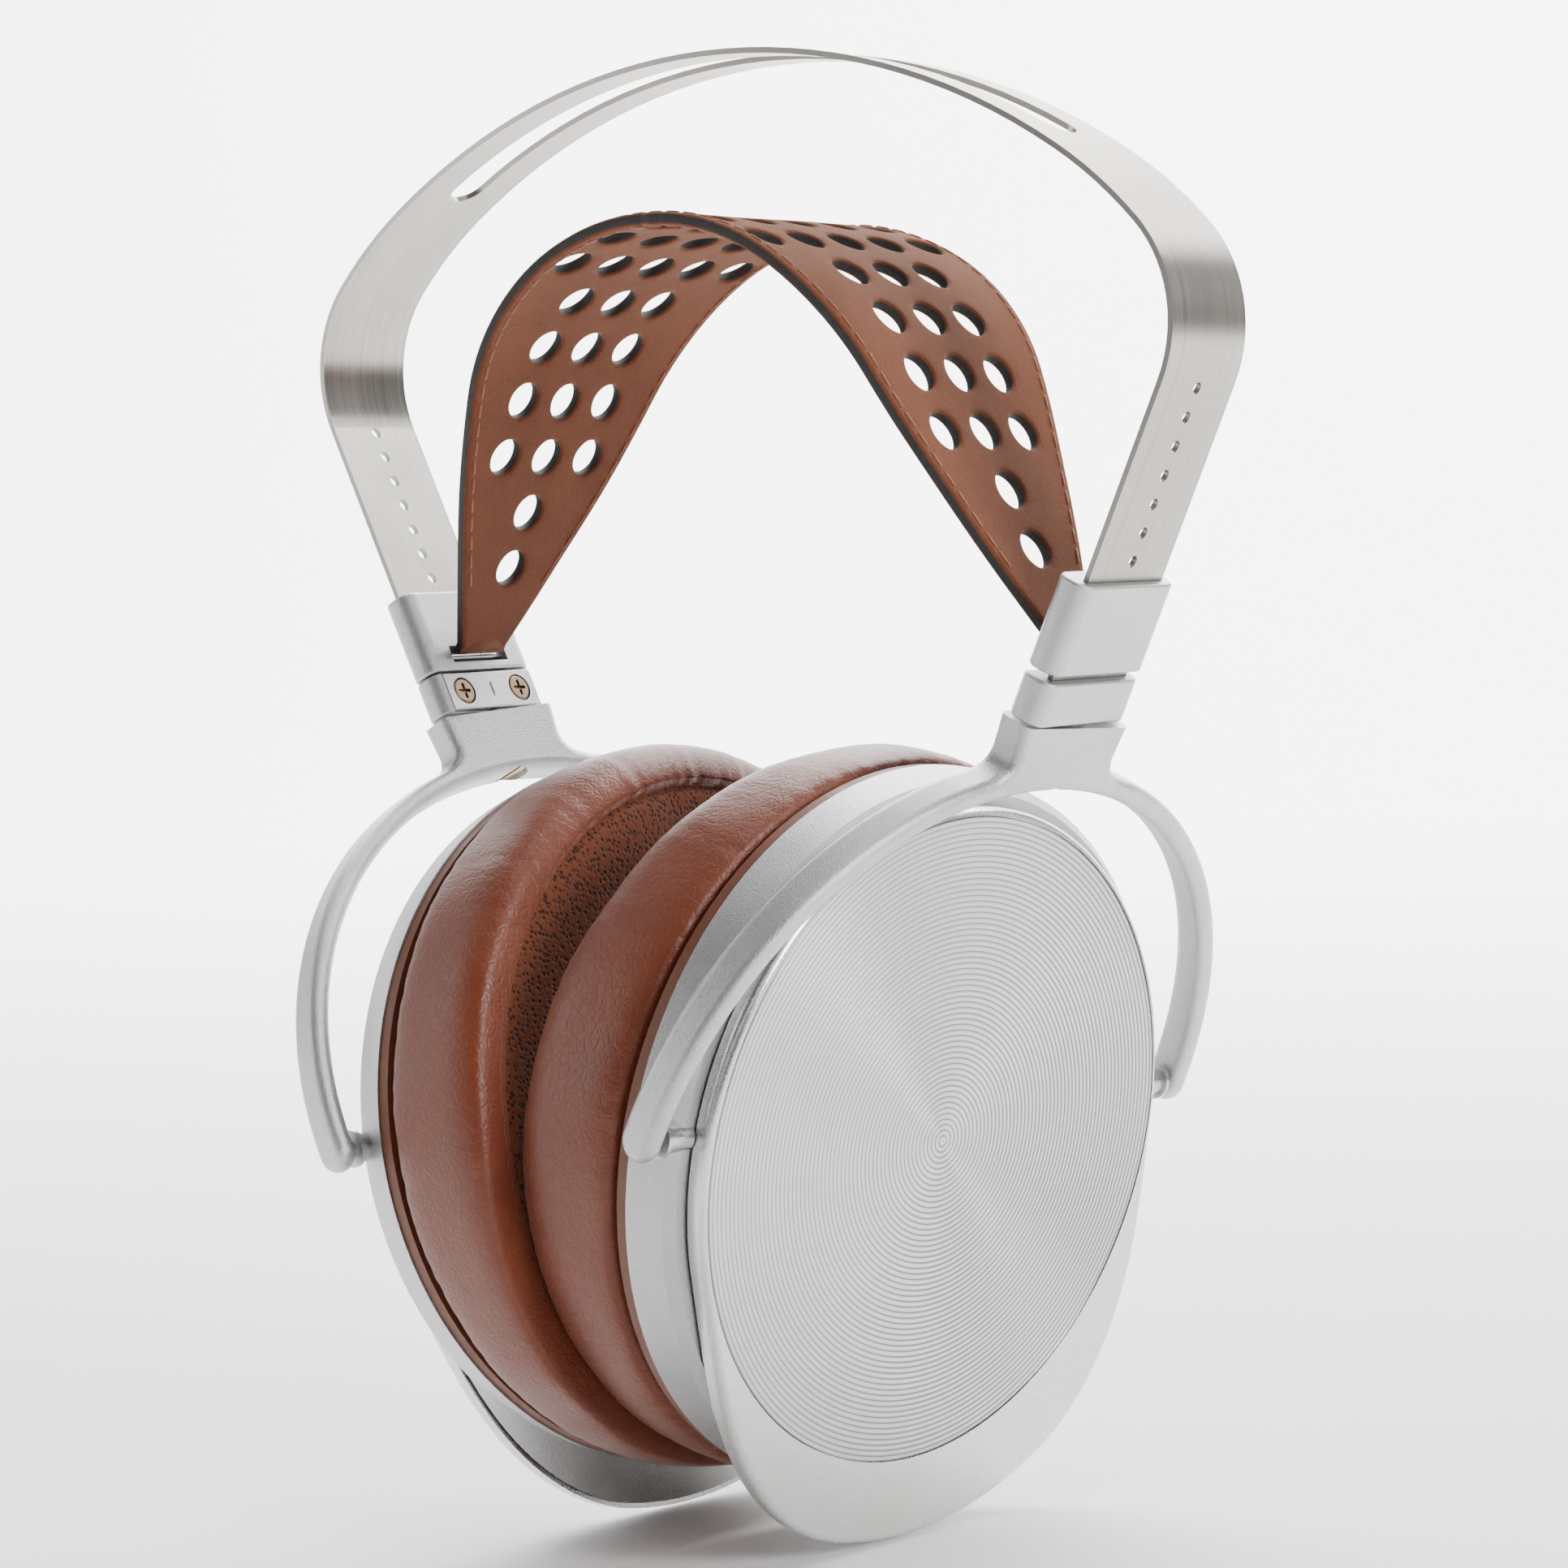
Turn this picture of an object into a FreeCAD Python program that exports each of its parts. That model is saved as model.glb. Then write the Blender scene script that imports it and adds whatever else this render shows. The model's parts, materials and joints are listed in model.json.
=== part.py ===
import FreeCAD, Part
import math
import os
from FreeCAD import Placement, Rotation, Vector

# Over-ear headphones with a spring-steel headband and a suspension strap.
# Millimetres. +Z up, the wearer faces +Y, the wearer's right cup is at +X.
# The origin is the middle of the headband's underside at its crown.

# Headband strip: arcs from the crown outwards, then a straight leg
band_width = 19.0
band_thick = 0.9
crown_radius = 120.0
crown_sweep = 33.2
shoulder_radius = 72.5
shoulder_sweep = 13.9
corner_radius = 20.8
corner_sweep = 68.6
slot_width = 6.4
slot_half_sweep = 31.0
adjust_hole_radius = 0.95
adjust_hole_pitch = 4.55
adjust_hole_first = 0.9
adjust_hole_count = 10
tail_notch_width = 4.6
tail_notch_depth = 5.0

# Blocks on the leg: distances are measured down the leg from its top
block_width = 24.0
block_thick = 6.0
block_corner = 2.6
block_edge = 0.5
outer_wall = 1.55
channel_clearance = 0.1
slider_height = 14.4
band_tail_floor = 1.2
slider_gap_left = 0.25
slider_gap_right = 1.2
end_block_top = 47.0
end_block_height = 7.0
end_plate_width = 20.6
end_plate_thick = 1.2
plate_clearance = 0.06
end_screw_pitch = 13.2
end_screw_head_radius = 2.2
end_screw_head_height = 0.8
end_screw_reach = 5.2
screw_edge = 0.3
cross_share = 0.62
plate_rim = 0.2
end_screw_radius = 0.9
screw_hole_clearance = 0.1
cross_width = 0.6
cross_depth = 0.5
side_bar_length = 2.4
side_bar_width = 0.45
side_bar_depth = 0.15

# Click stop inside each slider
ball_radius = 1.0
ball_clearance = 0.05
ball_height = 4.9
leaf_length = 12.0
leaf_foot = 1.5
leaf_clearance = 0.1
leaf_play = 0.25
ball_lift = 1.2
leaf_width = 3.0
leaf_thick = 0.3
strap_pin_radius = 0.6
strap_pin_bite = 2.5
strap_slot_width = 12.9
strap_slot_height = 3.0
strap_slot_lift = 1.4
strap_slot_wall = 0.5

# Suspension strap
strap_thick = 2.2
strap_end_width = 10.6
strap_crown_width = 50.4
strap_flare_length = 72.0
strap_crown_radius = 44.0
strap_crown_drop = 24.6
strap_block_gap = 0.5
strap_hole_radius = 3.1
strap_hole_pitch = 9.9
strap_hole_across = 9.9
strap_hole_rows = (1, 1, 3, 3, 3, 3, 5, 5, 5)
strap_fold_thick = 0.75
strap_fold_clearance = 0.4
strap_pin_depth = 1.5

# Yoke: a half ring with a neck that turns under the end block
yoke_gap = 0.4
yoke_thick = 6.4
yoke_half_span = 61.8
yoke_rise = 59.0
yoke_arm_thick = 3.4
yoke_crown_thick = 3.6
neck_width = 22.6
neck_step = 0.2
neck_flare = 9.0
neck_flare_lift = 2.5
yoke_edge = 1.6
swivel_right = -4.9
swivel_left = 8.0

# Swivel screw
swivel_shoulder_radius = 2.1
swivel_thread_radius = 1.5
swivel_head_radius = 2.7
swivel_head_height = 1.5
swivel_head_recess = 0.6
swivel_head_clearance = 0.15
swivel_thread_length = 4.4
driver_slot_width = 0.9
driver_slot_depth = 0.6
running_clearance = 0.05
washer_radius = 2.75

# Cup pivots
pivot_depth = 120.5
pivot_pin_radius = 1.25
pivot_arm_bite = 2.2
pivot_cup_bite = 4.2
pivot_end_room = 0.4
bush_radius = 2.3
bush_length = 4.6
bush_stand = 0.6
bush_flange = 0.5
bush_face = 0.2
bush_spotface = 3.0
cup_tilt = 9.5
cup_face_out = 5.0
cup_drop = 4.0

# Cup housing: drum, chin and cover plate
cup_radius = 56.3
cup_rim_radius = 55.0
cup_chamfer = 1.5
cup_depth = 7.6
cover_thick = 3.0
cover_gap = 0.4
cover_radius = 51.6
cover_edge = 1.2
chin_reach = 63.4
chin_lean = 10.0
chin_full_half_angle = 22.0
chin_end_half_angle = 80.0
chin_flare = 4.6
disc_radius = 50.3
disc_thick = 0.7
disc_recess = 0.6
disc_clearance = 0.15
disc_edge = 0.15
cup_bore_radius = 43.0
spigot_clearance = 0.3
spigot_height = 1.6
spigot_wall = 1.4
magnet_radius = 2.0
magnet_thick = 1.6
magnet_circle = 47.6
magnet_angles = (45.0, 135.0, 225.0, 315.0)

# Planar driver
driver_radius = 48.0
driver_depth = 4.4
driver_seat_clearance = 0.1
driver_seat_room = 0.2
housing_lap = 2.0
chin_base_step = 0.4
chin_step = 0.8
driver_wall = 5.0
driver_web = 0.6
driver_web_lip = 0.4
driver_fit = 0.05
magnet_bar_count = 9
magnet_bar_pitch = 8.4
magnet_bar_width = 3.0
magnet_bar_thick = 1.0
magnet_bar_end_room = 2.5
film_thick = 0.1
mesh_thick = 0.3
mesh_gap = 0.4
mesh_pitch = 9.0
mesh_hole_radius = 2.6
mesh_rim = 5.0

# Socket in the chin
socket_radius = 2.75
socket_bore_radius = 1.8
socket_bore_depth = 10.5
socket_length = 12.0
socket_back = 4.0
socket_boss_wall = 1.2
socket_clear = 0.6
socket_lip = 0.4
socket_way_out = 4.0

# Ear pad
base_ring_thick = 2.1
base_ring_radius = 56.0
base_ring_opening = 41.0
base_neck_thick = 0.9
base_neck_inset = 1.8
pad_radius = 57.4
pad_seam_radius = 50.0
pad_opening_radius = 33.0
pad_depth = 15.6
pad_wedge = 0.15
pad_outer_round = 7.0
pad_inner_round = 6.0
pad_gap = 0.6
pad_plane_turn = -6.2
pad_swing_room = 12.0
pad_tilt_room = 12.0
pad_fit = 0.05

X = Vector(1, 0, 0)
Y = Vector(0, 1, 0)
Z = Vector(0, 0, 1)
BIG = 400.0
PAST = 1.0  # how far a cutting shape runs beyond the face it opens
TINY = 1e-6


def box(x0, x1, y0, y1, z0, z1):
    return Part.makeBox(x1 - x0, y1 - y0, z1 - z0, Vector(x0, y0, z0))


def rod(radius, base, axis, length):
    return Part.makeCylinder(radius, length, base, axis)


def polar(radius, degrees):
    a = math.radians(degrees)
    return radius * math.cos(a), radius * math.sin(a)


def extrude_face(points, direction):
    face = Part.Face(Part.makePolygon(points + [points[0]]))
    return face.extrude(direction)


def ring_x(x0, x1, r_out, r_in, drop):
    """A plain ring about the cup's axis, which runs along local X."""
    body = rod(r_out, Vector(x0, 0, -drop), X, x1 - x0)
    hole = rod(r_in, Vector(x0 - PAST, 0, -drop), X, x1 - x0 + 2 * PAST)
    return body.cut(hole)


def turned_x(profile, drop):
    """Revolve (x, r) points about the cup's axis."""
    pts = [Vector(x, 0, r - drop) for x, r in profile]
    face = Part.Face(Part.makePolygon(pts + [pts[0]]))
    return face.revolve(Vector(0, 0, -drop), X, 360)


def edges_along(shape, direction, test):
    """Straight edges parallel to a direction whose middle passes a test."""
    found = []
    for edge in shape.Edges:
        if not isinstance(edge.Curve, Part.Line):
            continue
        run = edge.Vertexes[-1].Point.sub(edge.Vertexes[0].Point)
        if run.Length > TINY and run.normalize().cross(direction).Length < 1e-4:
            if test(edge.CenterOfMass):
                found.append(edge)
    return found


# ---------------------------------------------------------------- headband

def band_stations():
    """Centre and angle at the end of each arc on the +X side."""
    x, z, a = 0.0, band_thick / 2, 0.0
    stations = [(x, z, a)]
    arcs = ((crown_radius, crown_sweep), (shoulder_radius, shoulder_sweep),
            (corner_radius, corner_sweep))
    for radius, sweep in arcs:
        cx = x - radius * math.sin(math.radians(a))
        cz = z - radius * math.cos(math.radians(a))
        a += sweep
        x = cx + radius * math.sin(math.radians(a))
        z = cz + radius * math.cos(math.radians(a))
        stations.append((x, z, a))
    return stations


STATIONS = band_stations()
LEAN = STATIONS[-1][2] - 90.0
LEG = Placement(Vector(STATIONS[-1][0], 0, STATIONS[-1][1]), Rotation(Y, LEAN))
LEG_END = end_block_top + end_block_height - band_tail_floor
OUT_FACE = band_thick / 2 + outer_wall
IN_FACE = OUT_FACE - block_thick
MID = (OUT_FACE + IN_FACE) / 2


def offset_path(shift):
    """Edges of the half profile, moved outwards by a shift, crown to tail."""
    edges = []
    arcs = ((crown_radius, crown_sweep), (shoulder_radius, shoulder_sweep),
            (corner_radius, corner_sweep))
    for (x, z, a), (radius, sweep) in zip(STATIONS, arcs):
        cx = x - radius * math.sin(math.radians(a))
        cz = z - radius * math.cos(math.radians(a))
        pts = []
        for part in (0.0, 0.5, 1.0):
            b = math.radians(a + part * sweep)
            r = radius + shift
            pts.append(Vector(cx + r * math.sin(b), 0, cz + r * math.cos(b)))
        edges.append(Part.Arc(pts[0], pts[1], pts[2]).toShape())
    top = LEG.multVec(Vector(shift, 0, 0))
    tail = LEG.multVec(Vector(shift, 0, -LEG_END))
    edges.append(Part.LineSegment(top, tail).toShape())
    return edges, tail


def half_band():
    outer, tail_out = offset_path(band_thick / 2)
    inner, tail_in = offset_path(-band_thick / 2)
    crown_out = Vector(0, 0, band_thick)
    crown_in = Vector(0, 0, 0)
    caps = [Part.LineSegment(tail_out, tail_in).toShape(),
            Part.LineSegment(crown_out, crown_in).toShape()]
    wire = Part.Wire(Part.__sortEdges__(outer + inner + caps))
    solid = Part.Face(wire).extrude(Vector(0, band_width, 0))
    solid.translate(Vector(0, -band_width / 2, 0))
    cuts = []
    for i in range(adjust_hole_count):
        s = adjust_hole_first + i * adjust_hole_pitch
        hole = rod(adjust_hole_radius, Vector(-2, 0, -s), X, 4)
        cuts.append(placed(hole, LEG))
    notch = box(-2, 2, -tail_notch_width / 2, tail_notch_width / 2,
                -LEG_END - 1, -LEG_END + tail_notch_depth)
    cuts.append(placed(notch, LEG))
    for side in (-1, 1):
        hole = rod(end_screw_radius + screw_hole_clearance,
                   Vector(-PAST, side * end_screw_pitch / 2, -screw_level()), X, 2 * PAST)
        cuts.append(placed(hole, LEG))
    return solid.cut(cuts)


def placed(shape, placement):
    out = shape.copy()
    out.Placement = placement.multiply(out.Placement)
    return out


def screw_level():
    return end_block_top + end_block_height / 2


def crown_slot():
    """The long slot that splits the crown into two rails."""
    centre = Vector(0, 0, band_thick / 2 - crown_radius)
    r = slot_width / 2
    end = slot_half_sweep - math.degrees(r / crown_radius)
    a = math.radians(end)
    reach = crown_radius + 6
    tip = Vector(reach * math.sin(a), 0, reach * math.cos(a))
    wedge = extrude_face([centre, centre.add(tip), centre.add(Vector(0, 0, reach * 1.3)),
                          centre.add(Vector(-tip.x, 0, tip.z))], Vector(0, slot_width, 0))
    wedge.translate(Vector(0, -r, 0))
    cut = wedge
    for side in (-1, 1):
        way = Vector(side * math.sin(a), 0, math.cos(a))
        cut = cut.fuse(rod(r, centre.add(way * (crown_radius - 6)), way, 12))
    return cut


def headband_strip():
    half = half_band()
    whole = half.fuse(half.mirror(Vector(0, 0, 0), X)).removeSplitter()
    return whole.cut(crown_slot())


# ---------------------------------------------------------------- blocks

def block_body(top, height):
    """The rounded section shared by the slider, end block and yoke neck."""
    h = block_width / 2
    solid = box(IN_FACE, OUT_FACE, -h, h, -top - height, -top)
    corners = edges_along(solid, Z, lambda p: True)
    return solid.makeFillet(block_corner, corners)


def band_channel(top, height):
    g = channel_clearance
    return box(-band_thick / 2 - g, band_thick / 2 + g, -band_width / 2 - g,
               band_width / 2 + g, -top - height, -top)


def soften(solid, z_levels, size):
    """Break the outer rims at the given heights."""
    rims = []
    for edge in solid.Edges:
        p = edge.BoundBox
        flat = p.ZMax - p.ZMin < TINY
        if flat and any(abs(p.ZMax - z) < TINY for z in z_levels):
            rims.append(edge)
    return solid.makeFillet(size, rims)


def slider_top(gap):
    return end_block_top - gap - slider_height


def strap_slot_low(gap):
    return -(slider_top(gap) + slider_height) + strap_slot_lift


def strap_slot_box(gap):
    low = strap_slot_low(gap)
    h = strap_slot_width / 2
    deep = -band_thick / 2 - channel_clearance - strap_slot_wall
    return box(IN_FACE - PAST, deep, -h, h, low, low + strap_slot_height)


def slider_block(gap):
    top = slider_top(gap)
    solid = block_body(top, slider_height)
    solid = soften(solid, (-top, -top - slider_height), block_edge)
    solid = solid.cut(band_channel(top - PAST, slider_height + 2 * PAST))
    solid = solid.cut(strap_slot_box(gap))
    z = ball_level(gap)
    seat = rod(ball_radius + ball_clearance, Vector(leaf_x(), 0, z), X, 4 * ball_radius)
    low = z - leaf_foot
    high = low + leaf_length + leaf_clearance
    half = leaf_width / 2 + leaf_clearance
    back = leaf_x() - leaf_thick - leaf_clearance
    pocket = box(back, leaf_x() + leaf_play, -half, half, low, high)
    room = box(back, -band_thick / 2, -half, half, z + leaf_foot, high)
    return solid.cut([seat, pocket, room, strap_pin(gap)])


def ball_level(gap):
    return -(slider_top(gap) + slider_height) + ball_height + ball_lift


def leaf_x():
    return -band_thick / 2 - ball_clearance - 2 * ball_radius


def detent_ball(gap):
    x = -band_thick / 2 - ball_clearance - ball_radius
    return Part.makeSphere(ball_radius, Vector(x, 0, ball_level(gap)))


def detent_leaf(gap):
    z = ball_level(gap) - leaf_foot
    z_top = min(z + leaf_length, -slider_top(gap) - leaf_foot)
    return box(leaf_x() - leaf_thick, leaf_x(), -leaf_width / 2, leaf_width / 2, z, z_top)


def strap_pin(gap):
    z = strap_slot_low(gap) + strap_slot_height / 2
    length = strap_slot_width + 2 * strap_pin_bite
    return rod(strap_pin_radius, Vector(strap_pin_x(), -length / 2, z), Y, length)


def strap_pin_x():
    return IN_FACE + strap_pin_depth


def end_block():
    solid = block_body(end_block_top, end_block_height)
    low = -end_block_top - end_block_height
    solid = soften(solid, (-end_block_top, low), block_edge)
    tail = band_channel(end_block_top - PAST, LEG_END - end_block_top + PAST)
    solid = solid.cut(tail)
    recess = box(IN_FACE - PAST, IN_FACE + end_plate_thick,
                 -end_plate_width / 2 - plate_clearance,
                 end_plate_width / 2 + plate_clearance, low - PAST, -end_block_top + PAST)
    cuts = [recess]
    for side in (-1, 1):
        start = Vector(IN_FACE - PAST, side * end_screw_pitch / 2, -screw_level())
        cuts.append(rod(end_screw_radius, start, X, end_screw_reach + PAST))
    top = low + swivel_thread_length
    cuts.append(rod(swivel_thread_radius, Vector(MID, 0, low - PAST), Z, top - low + PAST))
    return solid.cut(cuts)


def end_plate(bars):
    low = -end_block_top - end_block_height
    h = end_plate_width / 2
    solid = box(IN_FACE, IN_FACE + end_plate_thick, -h, h, low + block_edge / 2,
                -end_block_top - block_edge / 2)
    rims = edges_along(solid, Y, lambda p: p.x < IN_FACE + 0.1)
    solid = solid.makeFillet(block_edge / 2, rims)
    cuts = []
    for side in (-1, 1):
        y = side * end_screw_pitch / 2
        mouth = Vector(IN_FACE - PAST, y, -screw_level())
        cuts.append(rod(end_screw_head_radius + plate_rim, mouth, X,
                        end_screw_head_height + PAST))
        cuts.append(rod(end_screw_radius + screw_hole_clearance, mouth, X,
                        end_plate_thick + 2 * PAST))
    for i in range(bars):
        y = (i - (bars - 1) / 2) * side_bar_width * 3
        cuts.append(box(IN_FACE - PAST, IN_FACE + side_bar_depth, y - side_bar_width / 2,
                        y + side_bar_width / 2, -screw_level() - side_bar_length / 2,
                        -screw_level() + side_bar_length / 2))
    return solid.cut(cuts)


def end_plate_screws():
    solids = []
    for side in (-1, 1):
        base = Vector(IN_FACE, side * end_screw_pitch / 2, -screw_level())
        head = rod(end_screw_head_radius, base, X, end_screw_head_height)
        rim = [e for e in head.Edges if abs(e.BoundBox.XMax - IN_FACE) < TINY]
        head = head.makeFillet(screw_edge, rim)
        screw = head.fuse(rod(end_screw_radius, base, X, end_screw_reach)).removeSplitter()
        x, y, z = base.x, base.y, base.z
        w = cross_width / 2
        r = end_screw_head_radius * cross_share
        a = box(x - PAST, x + cross_depth, y - r, y + r, z - w, z + w)
        b = box(x - PAST, x + cross_depth, y - w, y + w, z - r, z + r)
        solids.append(screw.cut([a, b]))
    return Part.makeCompound(solids)


# ---------------------------------------------------------------- strap

def strap_path():
    """Centre line on the +X side: crown arc, tangent line down to the slider."""
    start_z = -strap_crown_drop - strap_thick / 2
    centre_z = start_z - strap_crown_radius
    top = slider_top(slider_gap_left) + slider_height - strap_slot_lift - strap_slot_height
    foot = LEG.multVec(Vector(IN_FACE - strap_block_gap - strap_thick / 2, 0, -top))
    dx, dz = foot.x, foot.z - centre_z
    dist = math.hypot(dx, dz)
    angle = math.atan2(dx, dz) - math.acos(strap_crown_radius / dist)
    run = math.sqrt(dist * dist - strap_crown_radius ** 2)
    return centre_z, angle, run


def strap_point(s):
    """Position and outward normal at a distance from the crown."""
    centre_z, angle, run = strap_path()
    arc = strap_crown_radius * angle
    if s <= arc:
        a = s / strap_crown_radius
        n = Vector(math.sin(a), 0, math.cos(a))
        return Vector(0, 0, centre_z).add(n * strap_crown_radius), n
    n = Vector(math.sin(angle), 0, math.cos(angle))
    t = Vector(math.cos(angle), 0, -math.sin(angle))
    return Vector(0, 0, centre_z).add(n * strap_crown_radius).add(t * (s - arc)), n


def strap_half_length():
    centre_z, angle, run = strap_path()
    return strap_crown_radius * angle + run


def strap_width(s):
    left = max(0.0, strap_half_length() - s)
    part = min(1.0, left / strap_flare_length)
    grow = strap_crown_width - strap_end_width
    return strap_end_width + grow * math.sin(math.pi / 2 * part)


def strap_section(s, side):
    p, n = strap_point(s)
    p = Vector(p.x * side, 0, p.z)
    n = Vector(n.x * side, 0, n.z) * (strap_thick / 2)
    h = strap_width(s) / 2
    pts = [p.add(n).add(Vector(0, h, 0)), p.add(n).add(Vector(0, -h, 0)),
           p.sub(n).add(Vector(0, -h, 0)), p.sub(n).add(Vector(0, h, 0))]
    return Part.makePolygon(pts + [pts[0]])


def strap():
    length = strap_half_length()
    steps = 16
    stations = [length * i / steps for i in range(steps + 1)]
    wires = [strap_section(s, -1) for s in reversed(stations[1:])]
    wires += [strap_section(s, 1) for s in stations]
    solid = Part.makeLoft(wires, True, True)
    holes = []
    first = length - strap_hole_pitch * (len(strap_hole_rows) - 1)
    for i, count in enumerate(strap_hole_rows):
        s = length - first - i * strap_hole_pitch
        p, n = strap_point(max(0.0, s))
        for side in ((1,) if s < 1.0 else (-1, 1)):
            for j in range(count):
                y = (j - (count - 1) / 2) * strap_hole_across
                q = Vector(p.x * side, y, p.z)
                m = Vector(n.x * side, 0, n.z)
                reach = strap_thick + PAST
                holes.append(rod(strap_hole_radius, q.sub(m * reach), m, 2 * reach))
    return solid.cut(holes)


def strap_end(gap):
    """The folded end of the strap round its pin, inside the slider."""
    h = strap_slot_width / 2 - strap_fold_clearance
    mid = strap_slot_low(gap) + strap_slot_height / 2
    fold = rod(strap_pin_radius + strap_fold_thick, Vector(strap_pin_x(), -h, mid), Y, 2 * h)
    tail = box(IN_FACE - strap_block_gap, strap_pin_x(), -h, h, mid - strap_fold_thick,
               mid + strap_fold_thick)
    hole = rod(strap_pin_radius, Vector(strap_pin_x(), -h - PAST, mid), Y, 2 * (h + PAST))
    return fold.fuse(tail).removeSplitter().cut(hole)


# ---------------------------------------------------------------- yoke

def arch_z(y, a, b):
    return b * math.sqrt(max(0.0, 1 - (y / a) ** 2)) - pivot_depth


def spline_edge(points, tangents=None):
    curve = Part.BSplineCurve()
    if tangents is None:
        curve.interpolate(Points=points)
    else:
        curve.interpolate(Points=points, InitialTangent=tangents[0], FinalTangent=tangents[1])
    return curve.toShape()


def arch_points(a, b, y_start):
    """Quarter arch in the YZ plane from a height to the pivot line."""
    start = math.asin(y_start / a)
    steps = 24
    pts = []
    for i in range(steps + 1):
        t = start + (math.pi / 2 - start) * i / steps
        pts.append(Vector(0, a * math.sin(t), b * math.cos(t) - pivot_depth))
    return pts


def flipped(points):
    return [Vector(p.x, -p.y, p.z) for p in points]


def segment(p, q):
    return Part.LineSegment(p, q).toShape()


def yoke_top():
    return end_block_top + end_block_height + yoke_gap


def arch_opening(extra):
    """The space under the arch, down past the arm tips."""
    a = yoke_half_span - yoke_arm_thick
    b = yoke_rise - yoke_crown_thick
    low = -pivot_depth - yoke_thick / 2 - extra
    arc = arch_points(a, b, 0.0)
    tip, far = arc[-1], flipped(arc)[-1]
    edges = [spline_edge(list(reversed(flipped(arc)))[:-1] + arc), segment(tip, Vector(0, a, low)),
             segment(Vector(0, a, low), Vector(0, -a, low)), segment(Vector(0, -a, low), far)]
    return Part.Face(Part.Wire(Part.__sortEdges__(edges)))


def yoke_outline():
    """Neck, flares and arch as one outline."""
    a, b = yoke_half_span, yoke_rise
    h0 = block_width / 2 - neck_step
    h1 = neck_width / 2
    flare_z = -pivot_depth + b + neck_flare_lift
    join = h1 + neck_flare
    arc = arch_points(a, b, join)
    slope = arc[1].sub(arc[0])
    neck_top = Vector(0, h0, -yoke_top())
    neck_low = Vector(0, h1, flare_z)
    down = neck_low.sub(neck_top)
    low = Vector(0, a, -pivot_depth - yoke_thick / 2)
    edges = [segment(Vector(0, -h0, -yoke_top()), neck_top), segment(low, flipped([low])[0])]
    for flip in (1, -1):
        def m(p):
            return Vector(0, p.y * flip, p.z)
        edges.append(segment(m(neck_top), m(neck_low)))
        edges.append(spline_edge([m(neck_low), m(arc[0])],
                                 (m(down.normalize() * neck_flare), m(slope.normalize() * neck_flare))))
        edges.append(spline_edge([m(p) for p in arc]))
        edges.append(segment(m(arc[-1]), m(low)))
    return Part.Face(Part.Wire(Part.__sortEdges__(edges)))


def yoke_blank():
    solid = yoke_outline().extrude(Vector(yoke_thick, 0, 0))
    return solid.cut(arch_opening(PAST).extrude(Vector(yoke_thick, 0, 0)))


def arm_side_mask():
    """Side view of the arms: straight, with a round end at the pivot."""
    r = yoke_thick / 2
    span = yoke_half_span + PAST
    mask = box(0, yoke_thick, -span, span, -pivot_depth, 0)
    mask = mask.fuse(rod(r, Vector(r, -span, -pivot_depth), Y, 2 * span))
    return mask.removeSplitter()


def yoke():
    """In the yoke frame: X out, centred on the swivel axis."""
    solid = yoke_blank().common(arm_side_mask())
    solid.translate(Vector(-yoke_thick / 2, 0, 0))
    longest = []
    half = yoke_thick / 2
    for edge in solid.Edges:
        b = edge.BoundBox
        on_side = b.XMax - b.XMin < TINY and abs(abs(b.XMax) - half) < TINY
        if on_side and edge.Length > yoke_arm_thick and b.ZMax < -yoke_top() - TINY:
            longest.append(edge)
    neck_sides = [e for e in solid.Edges if e.BoundBox.ZMax > -yoke_top() - TINY
                  and e.BoundBox.ZMin < -yoke_top() - PAST]
    solid = solid.makeFillet(yoke_edge, longest + neck_sides)
    cuts = [rod(swivel_shoulder_radius + running_clearance, Vector(0, 0, -pivot_depth), Z,
                pivot_depth)]
    cuts.append(rod(swivel_head_radius + swivel_head_clearance, Vector(0, 0, -pivot_depth), Z,
                    head_low() + pivot_depth + swivel_head_height + running_clearance))
    span = yoke_half_span - yoke_arm_thick
    for side in (-1, 1):
        cuts.append(rod(pivot_pin_radius, Vector(0, side * (span - PAST), -pivot_depth),
                        Y * side, PAST + pivot_arm_bite))
    return solid.cut(cuts)


def head_low():
    """Height of the swivel screw's visible face under the arch."""
    return -pivot_depth + yoke_rise - yoke_crown_thick + swivel_head_recess


def swivel_screw():
    low = head_low()
    head = rod(swivel_head_radius, Vector(0, 0, low), Z, swivel_head_height)
    rim = [e for e in head.Edges if abs(e.BoundBox.ZMax - low) < TINY]
    head = head.makeFillet(screw_edge, rim)
    seat = -end_block_top - end_block_height
    shoulder = rod(swivel_shoulder_radius, Vector(0, 0, low), Z, seat - low)
    thread = rod(swivel_thread_radius, Vector(0, 0, low), Z, seat + swivel_thread_length - low)
    solid = head.fuse([shoulder, thread]).removeSplitter()
    w = driver_slot_width / 2
    r = swivel_head_radius + PAST
    return solid.cut(box(-r, r, -w, w, low - PAST, low + driver_slot_depth))


def swivel_washer():
    base = -yoke_top()
    height = yoke_gap
    outer = rod(washer_radius, Vector(0, 0, base), Z, height)
    inner = rod(swivel_shoulder_radius, Vector(0, 0, base - PAST), Z, height + 2 * PAST)
    return outer.cut(inner)


# ---------------------------------------------------------------- pivots

def pivot_pins():
    """In the yoke frame, pressed into the arm tips."""
    span = yoke_half_span - yoke_arm_thick
    pins = []
    for side in (-1, 1):
        start = span + pivot_arm_bite
        length = start - (cup_radius - pivot_cup_bite) + pivot_end_room
        pins.append(rod(pivot_pin_radius, Vector(0, side * start, -pivot_depth), Y * -side, length))
    return Part.makeCompound(pins)


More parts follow.
